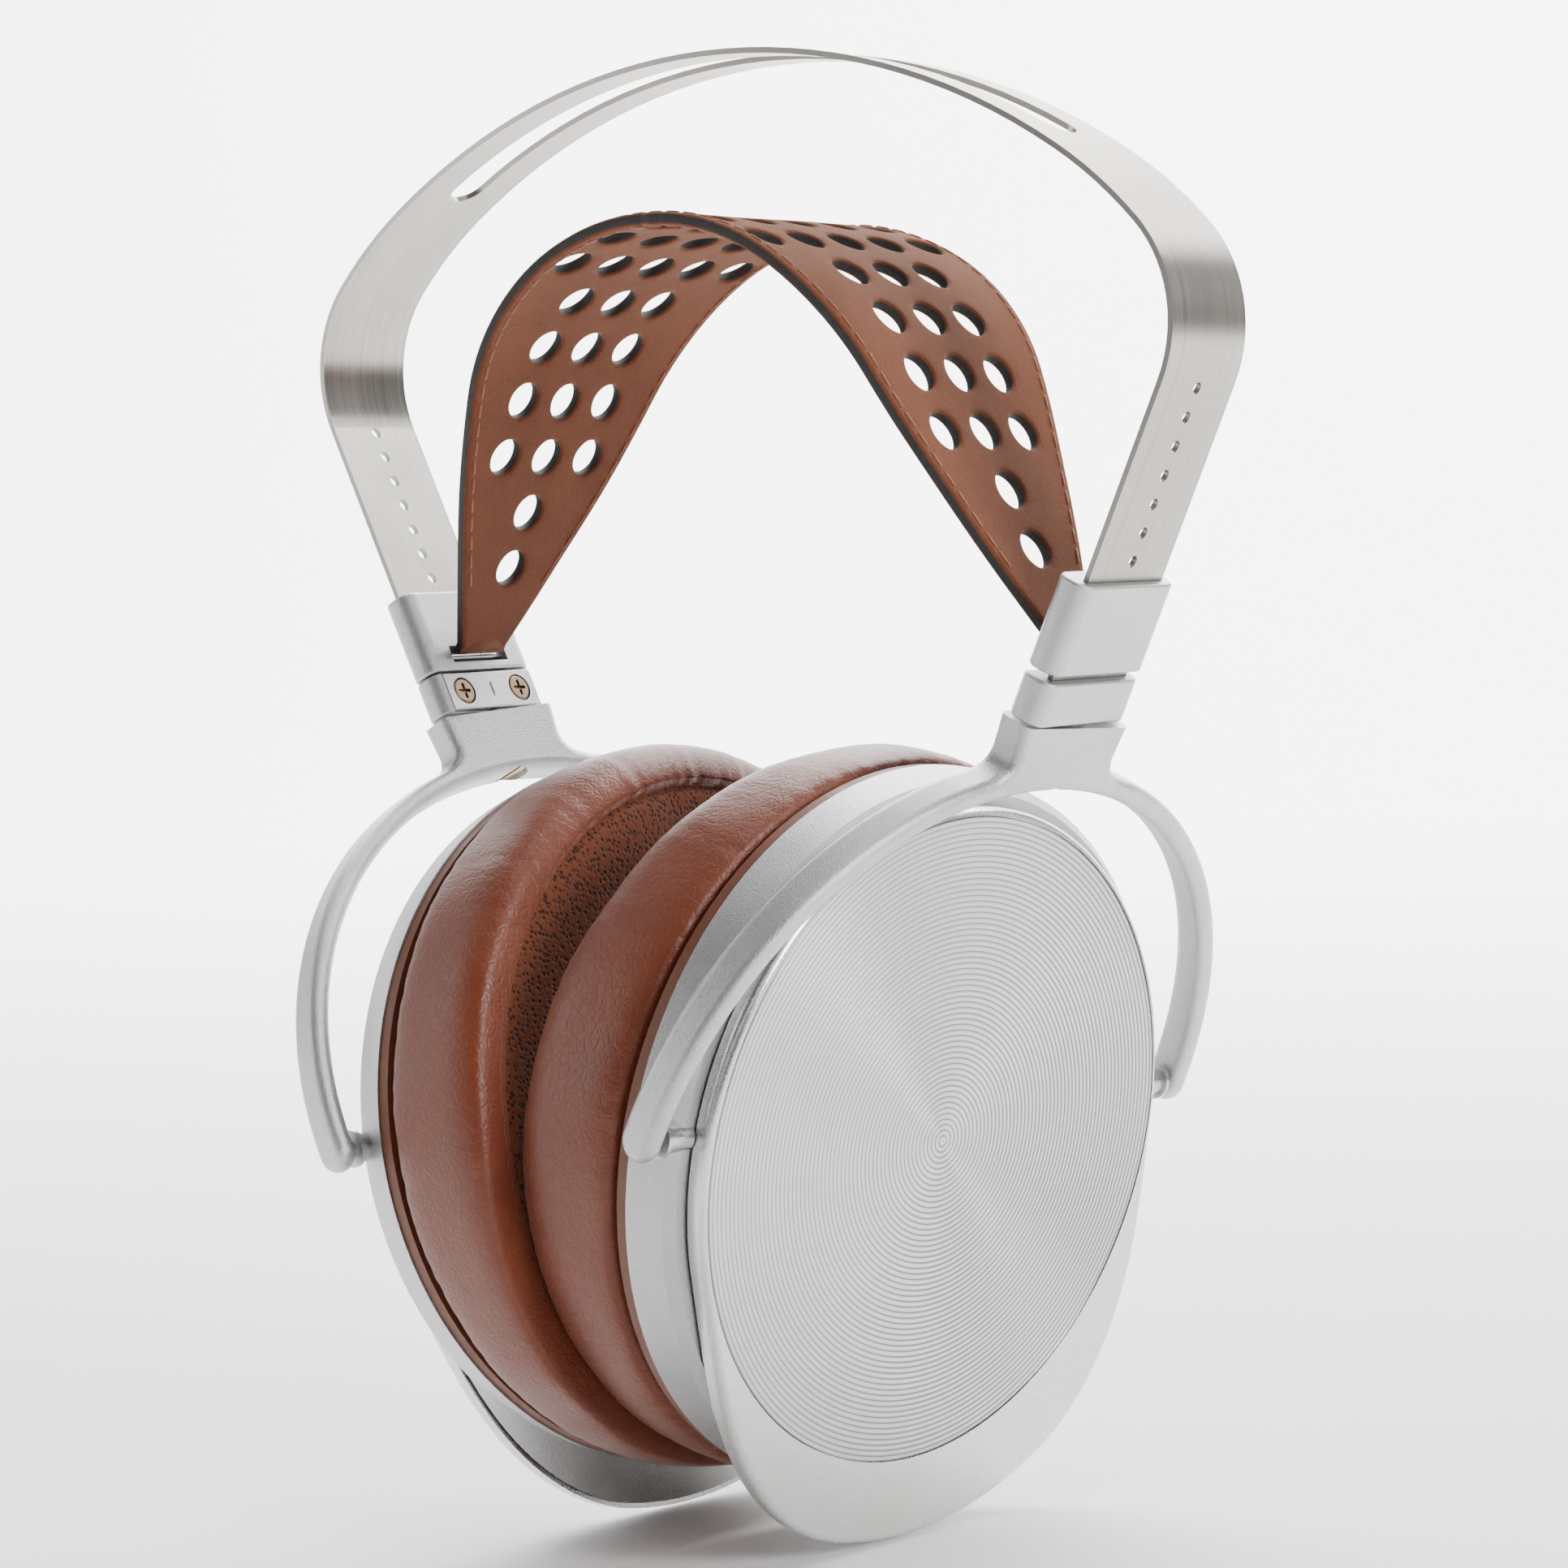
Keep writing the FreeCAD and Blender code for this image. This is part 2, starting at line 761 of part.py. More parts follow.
def pivot_bushes():
    """In the cup frame, flanged bushes in the drum's side."""
    bushes = []
    for side in (-1, 1):
        edge = cup_radius + bush_stand
        body = rod(bush_radius, Vector(0, side * edge, 0), Y * -side, bush_length + bush_stand)
        flange = rod(bush_radius + bush_stand, Vector(0, side * (edge + bush_flange), 0),
                     Y * -side, bush_flange + bush_face)
        hole = rod(pivot_pin_radius + running_clearance, Vector(0, side * (edge + PAST), 0),
                   Y * -side, bush_length + 3 * PAST)
        bushes.append(body.fuse(flange).removeSplitter().cut(hole))
    return Part.makeCompound(bushes)


# ---------------------------------------------------------------- cup
# Cup frame: X out along the cup's axis, Z up, the pivot line through the
# origin. The cup's centre lies below the pivot by cup_drop.

FACE = cup_face_out
PLATE_BACK = FACE - cover_thick
HOUSE_OUT = PLATE_BACK - cover_gap
HOUSE_IN = HOUSE_OUT - cup_depth


def chin_radius(degrees, base, reach):
    """Outline radius at an angle from +Y towards +Z."""
    away = abs((degrees + 90.0 - chin_lean + 180.0) % 360.0 - 180.0)
    part = (chin_end_half_angle - away) / (chin_end_half_angle - chin_full_half_angle)
    part = max(0.0, min(1.0, part))
    return base + (reach - base) * part * part * (3 - 2 * part)


def chin_wire(x, base, reach):
    pts = []
    steps = 72
    for i in range(steps):
        deg = 360.0 * i / steps
        y, z = polar(chin_radius(deg, base, reach), deg)
        pts.append(Vector(x, y, z - cup_drop))
    curve = Part.BSplineCurve()
    curve.interpolate(Points=pts, PeriodicFlag=True)
    return Part.Wire([curve.toShape()])


def cover_plate():
    solid = Part.Face(chin_wire(PLATE_BACK, cover_radius, chin_reach)).extrude(X * cover_thick)
    rims = [e for e in solid.Edges if e.BoundBox.XMin > FACE - TINY]
    solid = solid.makeFillet(cover_edge, rims)
    recess = rod(disc_radius + disc_clearance, Vector(FACE - disc_recess, 0, -cup_drop), X,
                 cover_thick)
    spigot_r = cup_bore_radius - spigot_clearance
    spigot = ring_x(PLATE_BACK - spigot_height, PLATE_BACK, spigot_r, spigot_r - spigot_wall,
                    cup_drop)
    solid = solid.cut(recess).fuse(spigot)
    return solid.cut(magnet_rods(PLATE_BACK, magnet_thick, magnet_radius))


def magnet_rods(x, depth, radius):
    rods = []
    for deg in magnet_angles:
        y, z = polar(magnet_circle, deg)
        rods.append(rod(radius, Vector(x, y, z - cup_drop), X, depth))
    return Part.makeCompound(rods)


def spun_disc():
    solid = rod(disc_radius, Vector(FACE - disc_recess, 0, -cup_drop), X, disc_thick)
    rims = [e for e in solid.Edges if e.BoundBox.XMin > FACE - disc_recess + disc_thick - TINY]
    return solid.makeFillet(disc_edge, rims)


def cup_housing():
    t = cup_chamfer
    wall_in = driver_radius + housing_lap
    drum = turned_x([(HOUSE_IN, wall_in), (HOUSE_IN, cup_radius),
                     (HOUSE_OUT - t, cup_rim_radius), (HOUSE_OUT, cup_rim_radius - t),
                     (HOUSE_OUT, wall_in)], cup_drop)
    inner = ring_x(HOUSE_IN, HOUSE_OUT, wall_in + housing_lap / 4, cup_bore_radius, cup_drop)
    base = cover_radius - chin_base_step
    chin_low = chin_wire(HOUSE_OUT - chin_flare, base, cup_rim_radius)
    chin_high = chin_wire(HOUSE_OUT, base, chin_reach - chin_step)
    chin = Part.makeLoft([chin_low, chin_high], True, True)
    chin = chin.cut(rod(wall_in, Vector(HOUSE_OUT - BIG, 0, -cup_drop), X, 2 * BIG))
    solid = drum.fuse([inner, chin, socket_boss()]).removeSplitter()
    seat = rod(driver_radius + driver_seat_clearance, Vector(HOUSE_IN - PAST, 0, -cup_drop), X,
               driver_depth + PAST + driver_seat_room)
    cuts = [seat, magnet_rods(HOUSE_OUT - magnet_thick, magnet_thick, magnet_radius),
            socket_blank(socket_way_out)]
    for side in (-1, 1):
        edge = cup_radius + PAST
        cuts.append(rod(bush_radius, Vector(0, side * edge, 0), Y * -side, bush_length + PAST))
        flat = Vector(0, side * (cup_radius - bush_face), 0)
        cuts.append(rod(bush_radius + bush_spotface, flat, Y * side, bush_spotface))
    return solid.cut(cuts)


def chin_axis():
    y, z = polar(1.0, -90.0 + chin_lean)
    return Vector(0, y, z)


def socket_point(reach):
    """A point on the socket's axis, at a distance from the cup's axis."""
    return Vector(HOUSE_OUT - socket_back, 0, -cup_drop).add(chin_axis() * reach)


def socket_mouth():
    return driver_radius + socket_clear + socket_length


def socket_boss():
    start = driver_radius + housing_lap
    r = socket_radius + socket_boss_wall
    boss = rod(r, socket_point(start), chin_axis(), socket_mouth() - socket_lip - start)
    return boss.common(box(HOUSE_IN, HOUSE_OUT, -BIG, BIG, -BIG, BIG))


def socket_blank(extra):
    return rod(socket_radius, socket_point(driver_radius + socket_clear), chin_axis(),
               socket_length + extra)


def audio_socket():
    bore = rod(socket_bore_radius, socket_point(socket_mouth() - socket_bore_depth), chin_axis(),
               socket_bore_depth + PAST)
    return socket_blank(0).cut(bore)


# ---------------------------------------------------------------- driver

def driver_span():
    return HOUSE_IN + driver_seat_clearance, HOUSE_IN + driver_depth


def driver_frame():
    x0, x1 = driver_span()
    solid = ring_x(x0, x1, driver_radius, driver_radius - driver_wall, cup_drop)
    inner = driver_radius - driver_wall
    mid = (x0 + x1) / 2
    bars = []
    for i in range(magnet_bar_count):
        y = (i - (magnet_bar_count - 1) / 2) * magnet_bar_pitch
        half = math.sqrt(inner ** 2 - y ** 2) + PAST
        wide = magnet_bar_width / 2 + driver_web_lip
        bars.append(box(mid + driver_web, mid + driver_web * 2, y - wide, y + wide,
                        -cup_drop - half, -cup_drop + half))
    return solid.fuse(bars).removeSplitter()


def magnet_bars():
    x0, x1 = driver_span()
    mid = (x0 + x1) / 2
    solids = []
    for i in range(magnet_bar_count):
        y = (i - (magnet_bar_count - 1) / 2) * magnet_bar_pitch
        half = math.sqrt((driver_radius - driver_wall) ** 2 - y ** 2) - magnet_bar_end_room
        x = mid + driver_web * 2
        solids.append(box(x, x + magnet_bar_thick, y - magnet_bar_width / 2,
                          y + magnet_bar_width / 2, -cup_drop - half, -cup_drop + half))
    return Part.makeCompound(solids)


def diaphragm():
    x0, x1 = driver_span()
    mid = (x0 + x1) / 2
    r = driver_radius - driver_wall - driver_fit
    return rod(r, Vector(mid, 0, -cup_drop), X, film_thick)


def inner_mesh():
    x0, x1 = driver_span()
    r = driver_radius - driver_wall - driver_fit
    solid = rod(r, Vector(x0 + mesh_gap, 0, -cup_drop), X, mesh_thick)
    holes = []
    n = int(r // mesh_pitch)
    for i in range(-n, n + 1):
        for j in range(-n, n + 1):
            y = (i + 0.5 * (j % 2)) * mesh_pitch
            z = j * mesh_pitch * math.sin(math.radians(60))
            if math.hypot(y, z) < r - mesh_rim:
                holes.append(rod(mesh_hole_radius, Vector(x0, y, z - cup_drop), X,
                                 mesh_gap + mesh_thick + PAST))
    return solid.cut(holes)


# ---------------------------------------------------------------- ear pad

RING_FACE = HOUSE_IN - pad_fit
PAD_BACK = RING_FACE - base_ring_thick - base_neck_thick


def pad_base_ring():
    x0 = RING_FACE - base_ring_thick
    flange = ring_x(x0, RING_FACE, base_ring_radius, base_ring_opening, cup_drop)
    neck = ring_x(PAD_BACK, x0, base_ring_radius - base_neck_inset, base_ring_opening, cup_drop)
    return flange.fuse(neck).removeSplitter()


def pad_wedge_cut():
    """Everything beyond the pad's sloping face, nearer the head."""
    a = math.degrees(math.atan(pad_wedge))
    block = box(-BIG, 0, -BIG, BIG, -BIG, BIG)
    block.rotate(Vector(0, 0, 0), Z, -a)
    block.translate(Vector(PAD_BACK - pad_depth, 0, 0))
    return block


def pad_body(r_out, r_in, round_out, round_in):
    deep = pad_depth + pad_wedge * pad_radius + 5
    solid = ring_x(PAD_BACK - deep, PAD_BACK, r_out, r_in, cup_drop)
    solid = solid.cut(pad_wedge_cut())
    for radius, size in ((r_out, round_out), (r_in, round_in)):
        if size > 0:
            rims = []
            for edge in solid.Edges:
                b = edge.BoundBox
                wide = b.ZMax - b.ZMin
                if b.XMin < PAD_BACK - 2 and abs(wide - 2 * radius) < 0.5:
                    rims.append(edge)
            solid = solid.makeFillet(size, rims)
    return solid


def swung_frames(swivel):
    """The cup's frame at rest and with its yoke and cup turned as far as they go."""
    frames = []
    for swing in (0.0, pad_swing_room):
        for tilt in (0.0, pad_tilt_room):
            frames.append(side_frames(swivel + swing, tilt)[1])
    return frames


def beyond_mid_plane(placement, side):
    """Half space past the plane where the two pads meet, in a cup's frame."""
    block = box(-BIG, pad_gap / 2, -BIG, BIG, -BIG, BIG)
    turned = Placement(Vector(0, 0, 0), Rotation(Z, side * pad_plane_turn))
    return placed(block, placement.inverse().multiply(turned))


def trimmed_pad(whole, swivel, side):
    """Trims a pad so that it never crosses the plane, wherever its cup is turned."""
    for placement in swung_frames(swivel):
        whole = whole.cut(beyond_mid_plane(placement, side))
    return whole


def pad_leather(swivel, side):
    whole = pad_body(pad_radius, pad_seam_radius, pad_outer_round, 0)
    return trimmed_pad(whole, swivel, side)


def pad_fabric(swivel, side):
    whole = pad_body(pad_seam_radius - pad_fit, pad_opening_radius, 0, pad_inner_round)
    return trimmed_pad(whole, swivel, side)


# ---------------------------------------------------------------- assembly

def side_frames(swivel, tilt=0.0):
    """Frames of the yoke and of the cup, on the +X side."""
    turn = LEG.multiply(Placement(Vector(MID, 0, 0), Rotation(Z, swivel)))
    lean = Rotation(Y, cup_tilt - LEAN - tilt)
    return turn, turn.multiply(Placement(Vector(0, 0, -pivot_depth), lean))


def save(name, shape):
    shape.exportStep("parts/" + name + ".step")


def build_side(name, side, gap, swivel, bars):
    turn, cup = side_frames(swivel)
    fixed = Placement(LEG).multiply(Placement(Vector(MID, 0, 0), Rotation()))
    pieces = {
        "slider_block": (slider_block(gap), LEG),
        "slider_strap_pin": (strap_pin(gap), LEG),
        "strap_end": (strap_end(gap), LEG),
        "slider_click_ball": (detent_ball(gap), LEG),
        "slider_click_leaf": (detent_leaf(gap), LEG),
        "end_block": (end_block(), LEG),
        "end_plate": (end_plate(bars), LEG),
        "end_plate_screws": (end_plate_screws(), LEG),
        "swivel_screw": (swivel_screw(), fixed),
        "swivel_washer": (swivel_washer(), fixed),
        "yoke": (yoke(), turn),
        "pivot_pins": (pivot_pins(), turn),
        "pivot_bushes": (pivot_bushes(), cup),
        "cup_housing": (cup_housing(), cup),
        "cover_catch_magnets": (magnet_rods(HOUSE_OUT - magnet_thick, magnet_thick,
                                            magnet_radius), cup),
        "cover_plate": (cover_plate(), cup),
        "cover_catch_studs": (magnet_rods(PLATE_BACK, magnet_thick, magnet_radius), cup),
        "cover_disc": (spun_disc(), cup),
        "driver_frame": (driver_frame(), cup),
        "driver_magnets": (magnet_bars(), cup),
        "driver_film": (diaphragm(), cup),
        "driver_mesh": (inner_mesh(), cup),
        "audio_socket": (audio_socket(), cup),
        "pad_base_ring": (pad_base_ring(), cup),
        "pad_leather": (pad_leather(swivel, side), cup),
        "pad_fabric": (pad_fabric(swivel, side), cup),
    }
    for piece, (shape, placement) in pieces.items():
        world = placed(shape, placement)
        if side < 0:
            world = world.mirror(Vector(0, 0, 0), X)
        save(piece + "_" + name, world)


def main():
    os.makedirs("parts", exist_ok=True)
    save("headband_strip", headband_strip())
    save("strap", strap())
    build_side("right", 1, slider_gap_right, swivel_right, 2)
    build_side("left", -1, slider_gap_left, swivel_left, 1)


main()
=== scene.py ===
"""Over ear headphones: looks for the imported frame. Metres, +Z up, the wearer faces +Y."""
import json
import math
import random

import bmesh
import bpy
from mathutils import Matrix, Vector, noise
from mathutils.geometry import delaunay_2d_cdt


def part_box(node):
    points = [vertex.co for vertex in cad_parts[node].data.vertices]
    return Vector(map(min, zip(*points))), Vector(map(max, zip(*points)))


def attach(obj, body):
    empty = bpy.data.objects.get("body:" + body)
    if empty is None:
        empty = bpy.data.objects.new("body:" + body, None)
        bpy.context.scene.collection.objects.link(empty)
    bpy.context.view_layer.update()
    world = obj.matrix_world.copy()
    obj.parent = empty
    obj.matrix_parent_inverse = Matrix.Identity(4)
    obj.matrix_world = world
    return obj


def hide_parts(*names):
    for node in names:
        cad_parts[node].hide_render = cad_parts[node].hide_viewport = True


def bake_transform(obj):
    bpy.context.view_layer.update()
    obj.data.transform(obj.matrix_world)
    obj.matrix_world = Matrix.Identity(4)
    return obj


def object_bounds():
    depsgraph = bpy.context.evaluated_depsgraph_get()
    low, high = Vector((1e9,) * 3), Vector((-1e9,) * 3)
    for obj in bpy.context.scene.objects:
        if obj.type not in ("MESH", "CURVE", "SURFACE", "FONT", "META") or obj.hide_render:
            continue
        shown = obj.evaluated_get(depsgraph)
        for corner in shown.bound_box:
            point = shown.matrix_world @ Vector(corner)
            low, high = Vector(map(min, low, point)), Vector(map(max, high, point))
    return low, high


MM = 0.001
SIDES = {"left": -1, "right": 1}

# Cup and pad, in the cup's own frame: X out of the cup, Y to the front, Z up
CUP_DROP = 4.0 * MM
DISC_FACE = 5.1 * MM
DISC_RADIUS = 50.3 * MM
DISC_EDGE = 0.25 * MM
DISC_THICK = 0.6 * MM
DISC_STEPS = 192
DISC_GROOVES = 58
GROOVE_DEPTH = 0.11 * MM
PAD_BACK = -9.05 * MM
PAD_RADIUS = 57.4 * MM
PAD_SEAM = 50.0 * MM
PAD_OPENING = 33.0 * MM
PAD_DEPTH = 15.6 * MM
PAD_WEDGE = 0.15
PAD_ROUND = 7.2 * MM
PAD_INNER_ROUND = 6.0 * MM
PAD_TUCK = 1.3 * MM
PAD_PLANE_TURN = math.radians(-6.2)
PAD_GAP = 0.25 * MM
PAD_STEPS = 96
PAD_MOVE = 2.0 * MM
PAD_SOFT = 0.8 * MM
CLOTH_FRAMES = 20

# Strap, as an arch in the XZ plane
STRAP_THICK = 2.0 * MM
STRAP_TOP = -24.6 * MM
STRAP_RADIUS = 44.0 * MM
STRAP_END_WIDTH = 10.6 * MM
STRAP_CROWN_WIDTH = 50.4 * MM
STRAP_FLARE = 72.0 * MM
STRAP_HOLE = 3.1 * MM
STRAP_PITCH = 9.9 * MM
STRAP_ROWS = (1, 1, 3, 3, 3, 3, 5, 5, 5)
STRAP_TAIL = 1.6 * MM
STRAP_MESH = 1.5 * MM
STRAP_EDGE_SOFT = 0.7 * MM
STRAP_EDGE_RINGS = (0.25 * MM, STRAP_EDGE_SOFT)
STRAP_WAVE = 0.22 * MM
STRAP_WAVE_RATE = 55
HOLE_STEPS = 28
STITCH_INSET = 1.5 * MM
STITCH_LENGTH = 2.5 * MM
STITCH_PITCH = 3.3 * MM
STITCH_RADIUS = 0.20 * MM

# Camera, solved for this frame
CAMERA_AT = Vector((0.41806, -0.51031, -0.07699))
CAMERA_YAW = math.radians(39.0396)
CAMERA_PITCH = math.radians(-3.0883)
CAMERA_ROLL = math.radians(-1.6448)
CAMERA_LENS = 96.79

# Studio: name, place, aim, width, height and power of each soft light
WORLD_LIGHT = 0.16
LIGHTS = (
    ("top", (0.25, -0.1, 1.45), (0, 0, -0.1), 0.9, 0.9, 9),
    ("right", (1.7, -0.15, 0.55), (0, 0, -0.12), 0.6, 0.6, 30),
    ("left", (-1.3, -0.9, 0.35), (0, 0, -0.1), 0.6, 1.1, 8),
    ("backdrop", (-0.9, 1.0, 1.6), (-1.3, 1.9, 0.2), 2.0, 0.8, 190),
    ("backdrop_right", (0.5, 1.6, 1.4), (-0.3, 2.4, 0.2), 1.4, 0.8, 120),
)

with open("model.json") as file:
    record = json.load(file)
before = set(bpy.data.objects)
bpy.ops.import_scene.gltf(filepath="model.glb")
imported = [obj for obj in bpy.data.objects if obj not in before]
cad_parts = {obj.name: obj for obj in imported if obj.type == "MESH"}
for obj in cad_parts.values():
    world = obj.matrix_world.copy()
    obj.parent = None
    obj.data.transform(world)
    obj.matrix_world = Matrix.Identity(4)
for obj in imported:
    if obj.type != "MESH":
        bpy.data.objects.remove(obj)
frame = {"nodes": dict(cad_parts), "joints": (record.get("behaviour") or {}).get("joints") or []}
nodes = frame["nodes"]
joints = {j["name"]: j for j in frame["joints"]}
cad_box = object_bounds()


# ---------------------------------------------------------------- frames

def cup_frame(name):
    """Matrix from the cup's own frame to the row frame, mirrored on the left."""
    tilt = joints["cup_tilt_" + name]
    out = Vector(joints["cover_pull_" + name]["axis"])
    front = Vector(tilt["axis"])
    up = out.cross(front) * SIDES[name]
    matrix = Matrix((out, front, up)).transposed().to_4x4()
    matrix.translation = Vector(tilt["pos_m"])
    return matrix


# ---------------------------------------------------------------- materials

class Shader:
    """A Principled material with small helpers for its nodes."""

    def __init__(self, name, **values):
        self.material = bpy.data.materials.new(name)
        self.material.use_nodes = True
        self.tree = self.material.node_tree
        self.surface = self.tree.nodes["Principled BSDF"]
        for socket, value in values.items():
            self.surface.inputs[socket.replace("_", " ")].default_value = value
        self.heights = []

    def add(self, kind, links=None, **values):
        node = self.tree.nodes.new("ShaderNode" + kind)
        for key, value in values.items():
            if hasattr(node, key):
                setattr(node, key, value)
            else:
                node.inputs[key.replace("_", " ")].default_value = value
        for key, source in (links or {}).items():
            self.tree.links.new(source, node.inputs[key])
        return node

    def place(self, scale=(1, 1, 1), turn=(0, 0, 0), kind="Object"):
        coordinates = self.add("TexCoord")
        mapping = self.add("Mapping", {"Vector": coordinates.outputs[kind]})
        mapping.inputs["Scale"].default_value = scale
        mapping.inputs["Rotation"].default_value = turn
        return mapping.outputs["Vector"]

    def noise(self, vector, scale, detail=3.0, rough=0.5):
        return self.add("TexNoise", {"Vector": vector}, Scale=scale, Detail=detail,
                        Roughness=rough).outputs["Fac"]

    def cells(self, vector, scale, feature="F1"):
        node = self.add("TexVoronoi", {"Vector": vector}, feature=feature, Scale=scale)
        return node.outputs["Distance"]

    def remap(self, value, low, high, to_low, to_high):
        node = self.add("MapRange", {"Value": value})
        for key, number in (("From Min", low), ("From Max", high),
                            ("To Min", to_low), ("To Max", to_high)):
            node.inputs[key].default_value = number
        return node.outputs["Result"]

    def math(self, operation, a, b):
        node = self.add("Math", operation=operation)
        for socket, value in zip(node.inputs, (a, b)):
            if isinstance(value, (int, float)):
                socket.default_value = value
            else:
                self.tree.links.new(value, socket)
        return node.outputs[0]

    def colours(self, fac, dark, light):
        node = self.add("Mix", data_type="RGBA")
        self.tree.links.new(fac, node.inputs["Factor"])
        for socket in node.inputs:
            if socket.type == "RGBA":
                socket.default_value = (*(dark if socket.name == "A" else light), 1)
        return next(socket for socket in node.outputs if socket.type == "RGBA")

    def colour(self, fac, dark, light):
        self.tree.links.new(self.colours(fac, dark, light), self.surface.inputs["Base Color"])

    def part(self, vector, axis):
        return self.add("SeparateXYZ", {"Vector": vector}).outputs[axis]

    def roughness(self, fac, low, high):
        self.tree.links.new(self.remap(fac, 0.25, 0.75, low, high),
                            self.surface.inputs["Roughness"])

    def bump(self, height, depth, strength=1.0):
        """Adds a layer of relief, depth in metres."""
        links = {"Height": height}
        if self.heights:
            links["Normal"] = self.heights[-1]
        node = self.add("Bump", links, Strength=strength, Distance=depth)
        self.heights.append(node.outputs["Normal"])
        self.tree.links.new(node.outputs["Normal"], self.surface.inputs["Normal"])

    def tangent(self, axis=None):
        if axis:
            node = self.add("Tangent", direction_type="RADIAL", axis=axis)
        else:
            node = self.add("Tangent", direction_type="UV_MAP", uv_map="UVMap")
        self.tree.links.new(node.outputs["Tangent"], self.surface.inputs["Tangent"])


def brushed_strip():
    """Spring steel brushed along the strip."""
    s = Shader("spring_steel", Metallic=1.0, Anisotropic=0.7, Anisotropic_Rotation=0.25)
    streaks = s.noise(s.place((6, 2600, 6)), 1.0, 4.0, 0.6)
    blotches = s.noise(s.place(), 45.0, 3.0)
    s.colour(streaks, (0.27, 0.25, 0.225), (0.56, 0.53, 0.49))
    s.roughness(s.math("ADD", s.math("MULTIPLY", blotches, 0.6),
                       s.math("MULTIPLY", streaks, 0.4)), 0.24, 0.38)
    s.bump(streaks, 0.00003)
    s.tangent("Y")
    return s.material


def blasted(name="blasted_aluminium", light=0.58):
    """Fine bead blast with a clear anodised coat."""
    s = Shader(name, Metallic=1.0, Coat_Weight=0.10, Coat_Roughness=0.40)
    grain = s.noise(s.place(), 3600.0, 2.0, 0.7)
    clouds = s.noise(s.place(), 60.0, 4.0)
    mixed = s.math("ADD", s.math("MULTIPLY", grain, 0.65), s.math("MULTIPLY", clouds, 0.35))
    s.colour(s.remap(mixed, 0.3, 0.7, 0.0, 1.0), (light * 0.70,) * 3, (light * 1.06,) * 3)
    s.roughness(mixed, 0.36, 0.50)
    s.bump(grain, 0.00010)
    return s.material


def satin_plate():
    """The cover plate: satin turned aluminium."""
    s = Shader("satin_aluminium", Metallic=1.0, Anisotropic=0.35, Anisotropic_Rotation=0.25,
               Coat_Weight=0.1, Coat_Roughness=0.3)
    clouds = s.noise(s.place(), 70.0, 3.0)
    grain = s.noise(s.place(), 4200.0, 2.0)
    s.colour(clouds, (0.62, 0.62, 0.605), (0.70, 0.70, 0.685))
    s.roughness(s.math("ADD", s.math("MULTIPLY", grain, 0.4), s.math("MULTIPLY", clouds, 0.6)),
                0.22, 0.32)
    s.bump(grain, 0.000012)
    s.tangent("X")
    return s.material


def spun_metal():
    """Spun rings: fine circular scratches on top of the modelled grooves, with painted shade in
    every groove bottom.
    """
    s = Shader("spun_aluminium", Metallic=1.0, Anisotropic=0.85, Anisotropic_Rotation=0.25)
    rings = s.noise(s.place((1.5, 900, 1), kind="UV"), 1.0, 3.0, 0.7)
    across = s.math("MULTIPLY", s.part(s.place(kind="UV"), "Y"), DISC_GROOVES)
    # Painted shade: this mask is 0 in each groove bottom, where the groove would be shaded, and 1
    # on the flat tops.
    groove_shade_mask = s.remap(s.math("PINGPONG", across, 0.5), 0.02, 0.30, 0.0, 1.0)
    # Painted groove shade times the real tone of the spun rings.
    groove_shade_and_ring_tone = s.math("MULTIPLY", groove_shade_mask, s.remap(rings, 0.3, 0.7, 0.75, 1.0))
    # The dark colour is the painted shade in the groove bottoms; the light colour is the lit metal
    # of the tops.
    s.colour(groove_shade_and_ring_tone, (0.20, 0.20, 0.195), (0.72, 0.72, 0.705))
    s.roughness(rings, 0.26, 0.38)
    s.bump(rings, 0.00002)
    s.tangent()
    return s.material


def plain_metal(name, dark, light, low, high, scale=400.0):
    s = Shader(name, Metallic=1.0)
    wear = s.noise(s.place(), scale, 4.0)
    s.colour(wear, dark, light)
    s.roughness(wear, low, high)
    s.bump(s.noise(s.place(), scale * 8, 2.0), 0.00002)
    return s.material


def plastic(name, dark, light, low=0.45, high=0.6):
    s = Shader(name)
    wear = s.noise(s.place(), 180.0, 3.0)
    grain = s.cells(s.place(), 2600.0)
    s.colour(wear, dark, light)
    s.roughness(wear, low, high)
    s.bump(grain, 0.00003)
    return s.material


def pad_skin():
    """Tan brown leather with a pebbled grain and fine creases."""
    s = Shader("pad_leather", Specular_IOR_Level=0.45, Sheen_Weight=0.08)
    pebbles = s.cells(s.place(), 1500.0)
    creases = s.cells(s.place(), 620.0, "DISTANCE_TO_EDGE")
    fine = s.noise(s.place(), 2400.0, 3.0)
    tone = s.noise(s.place(), 90.0, 4.0, 0.6)
    s.colour(s.math("ADD", s.math("MULTIPLY", tone, 0.7), s.math("MULTIPLY", pebbles, 0.3)),
             (0.105, 0.0190, 0.0048), (0.185, 0.0380, 0.0105))
    s.roughness(s.math("ADD", s.math("MULTIPLY", fine, 0.4), s.math("MULTIPLY", tone, 0.6)),
                0.36, 0.52)
    s.bump(s.remap(creases, 0.0, 0.12, 0.0, 1.0), 0.00003)
    s.bump(pebbles, -0.00004)
    s.bump(fine, 0.000015)
    return s.material


def pad_knit():
    """Reddish brown open knit with small round holes."""
    s = Shader("pad_knit", Sheen_Weight=0.06, Sheen_Roughness=0.5, Roughness=0.85,
               Specular_IOR_Level=0.25)
    holes = s.cells(s.place(), 1250.0)
    yarn = s.noise(s.place(), 3800.0, 2.0)
    s.colour(s.remap(holes, 0.15, 0.5, 0.0, 1.0), (0.012, 0.0030, 0.0010), (0.135, 0.0340, 0.0115))
    s.bump(s.remap(holes, 0.1, 0.55, 0.0, 1.0), 0.00022)
    s.bump(yarn, 0.00006)
    return s.material


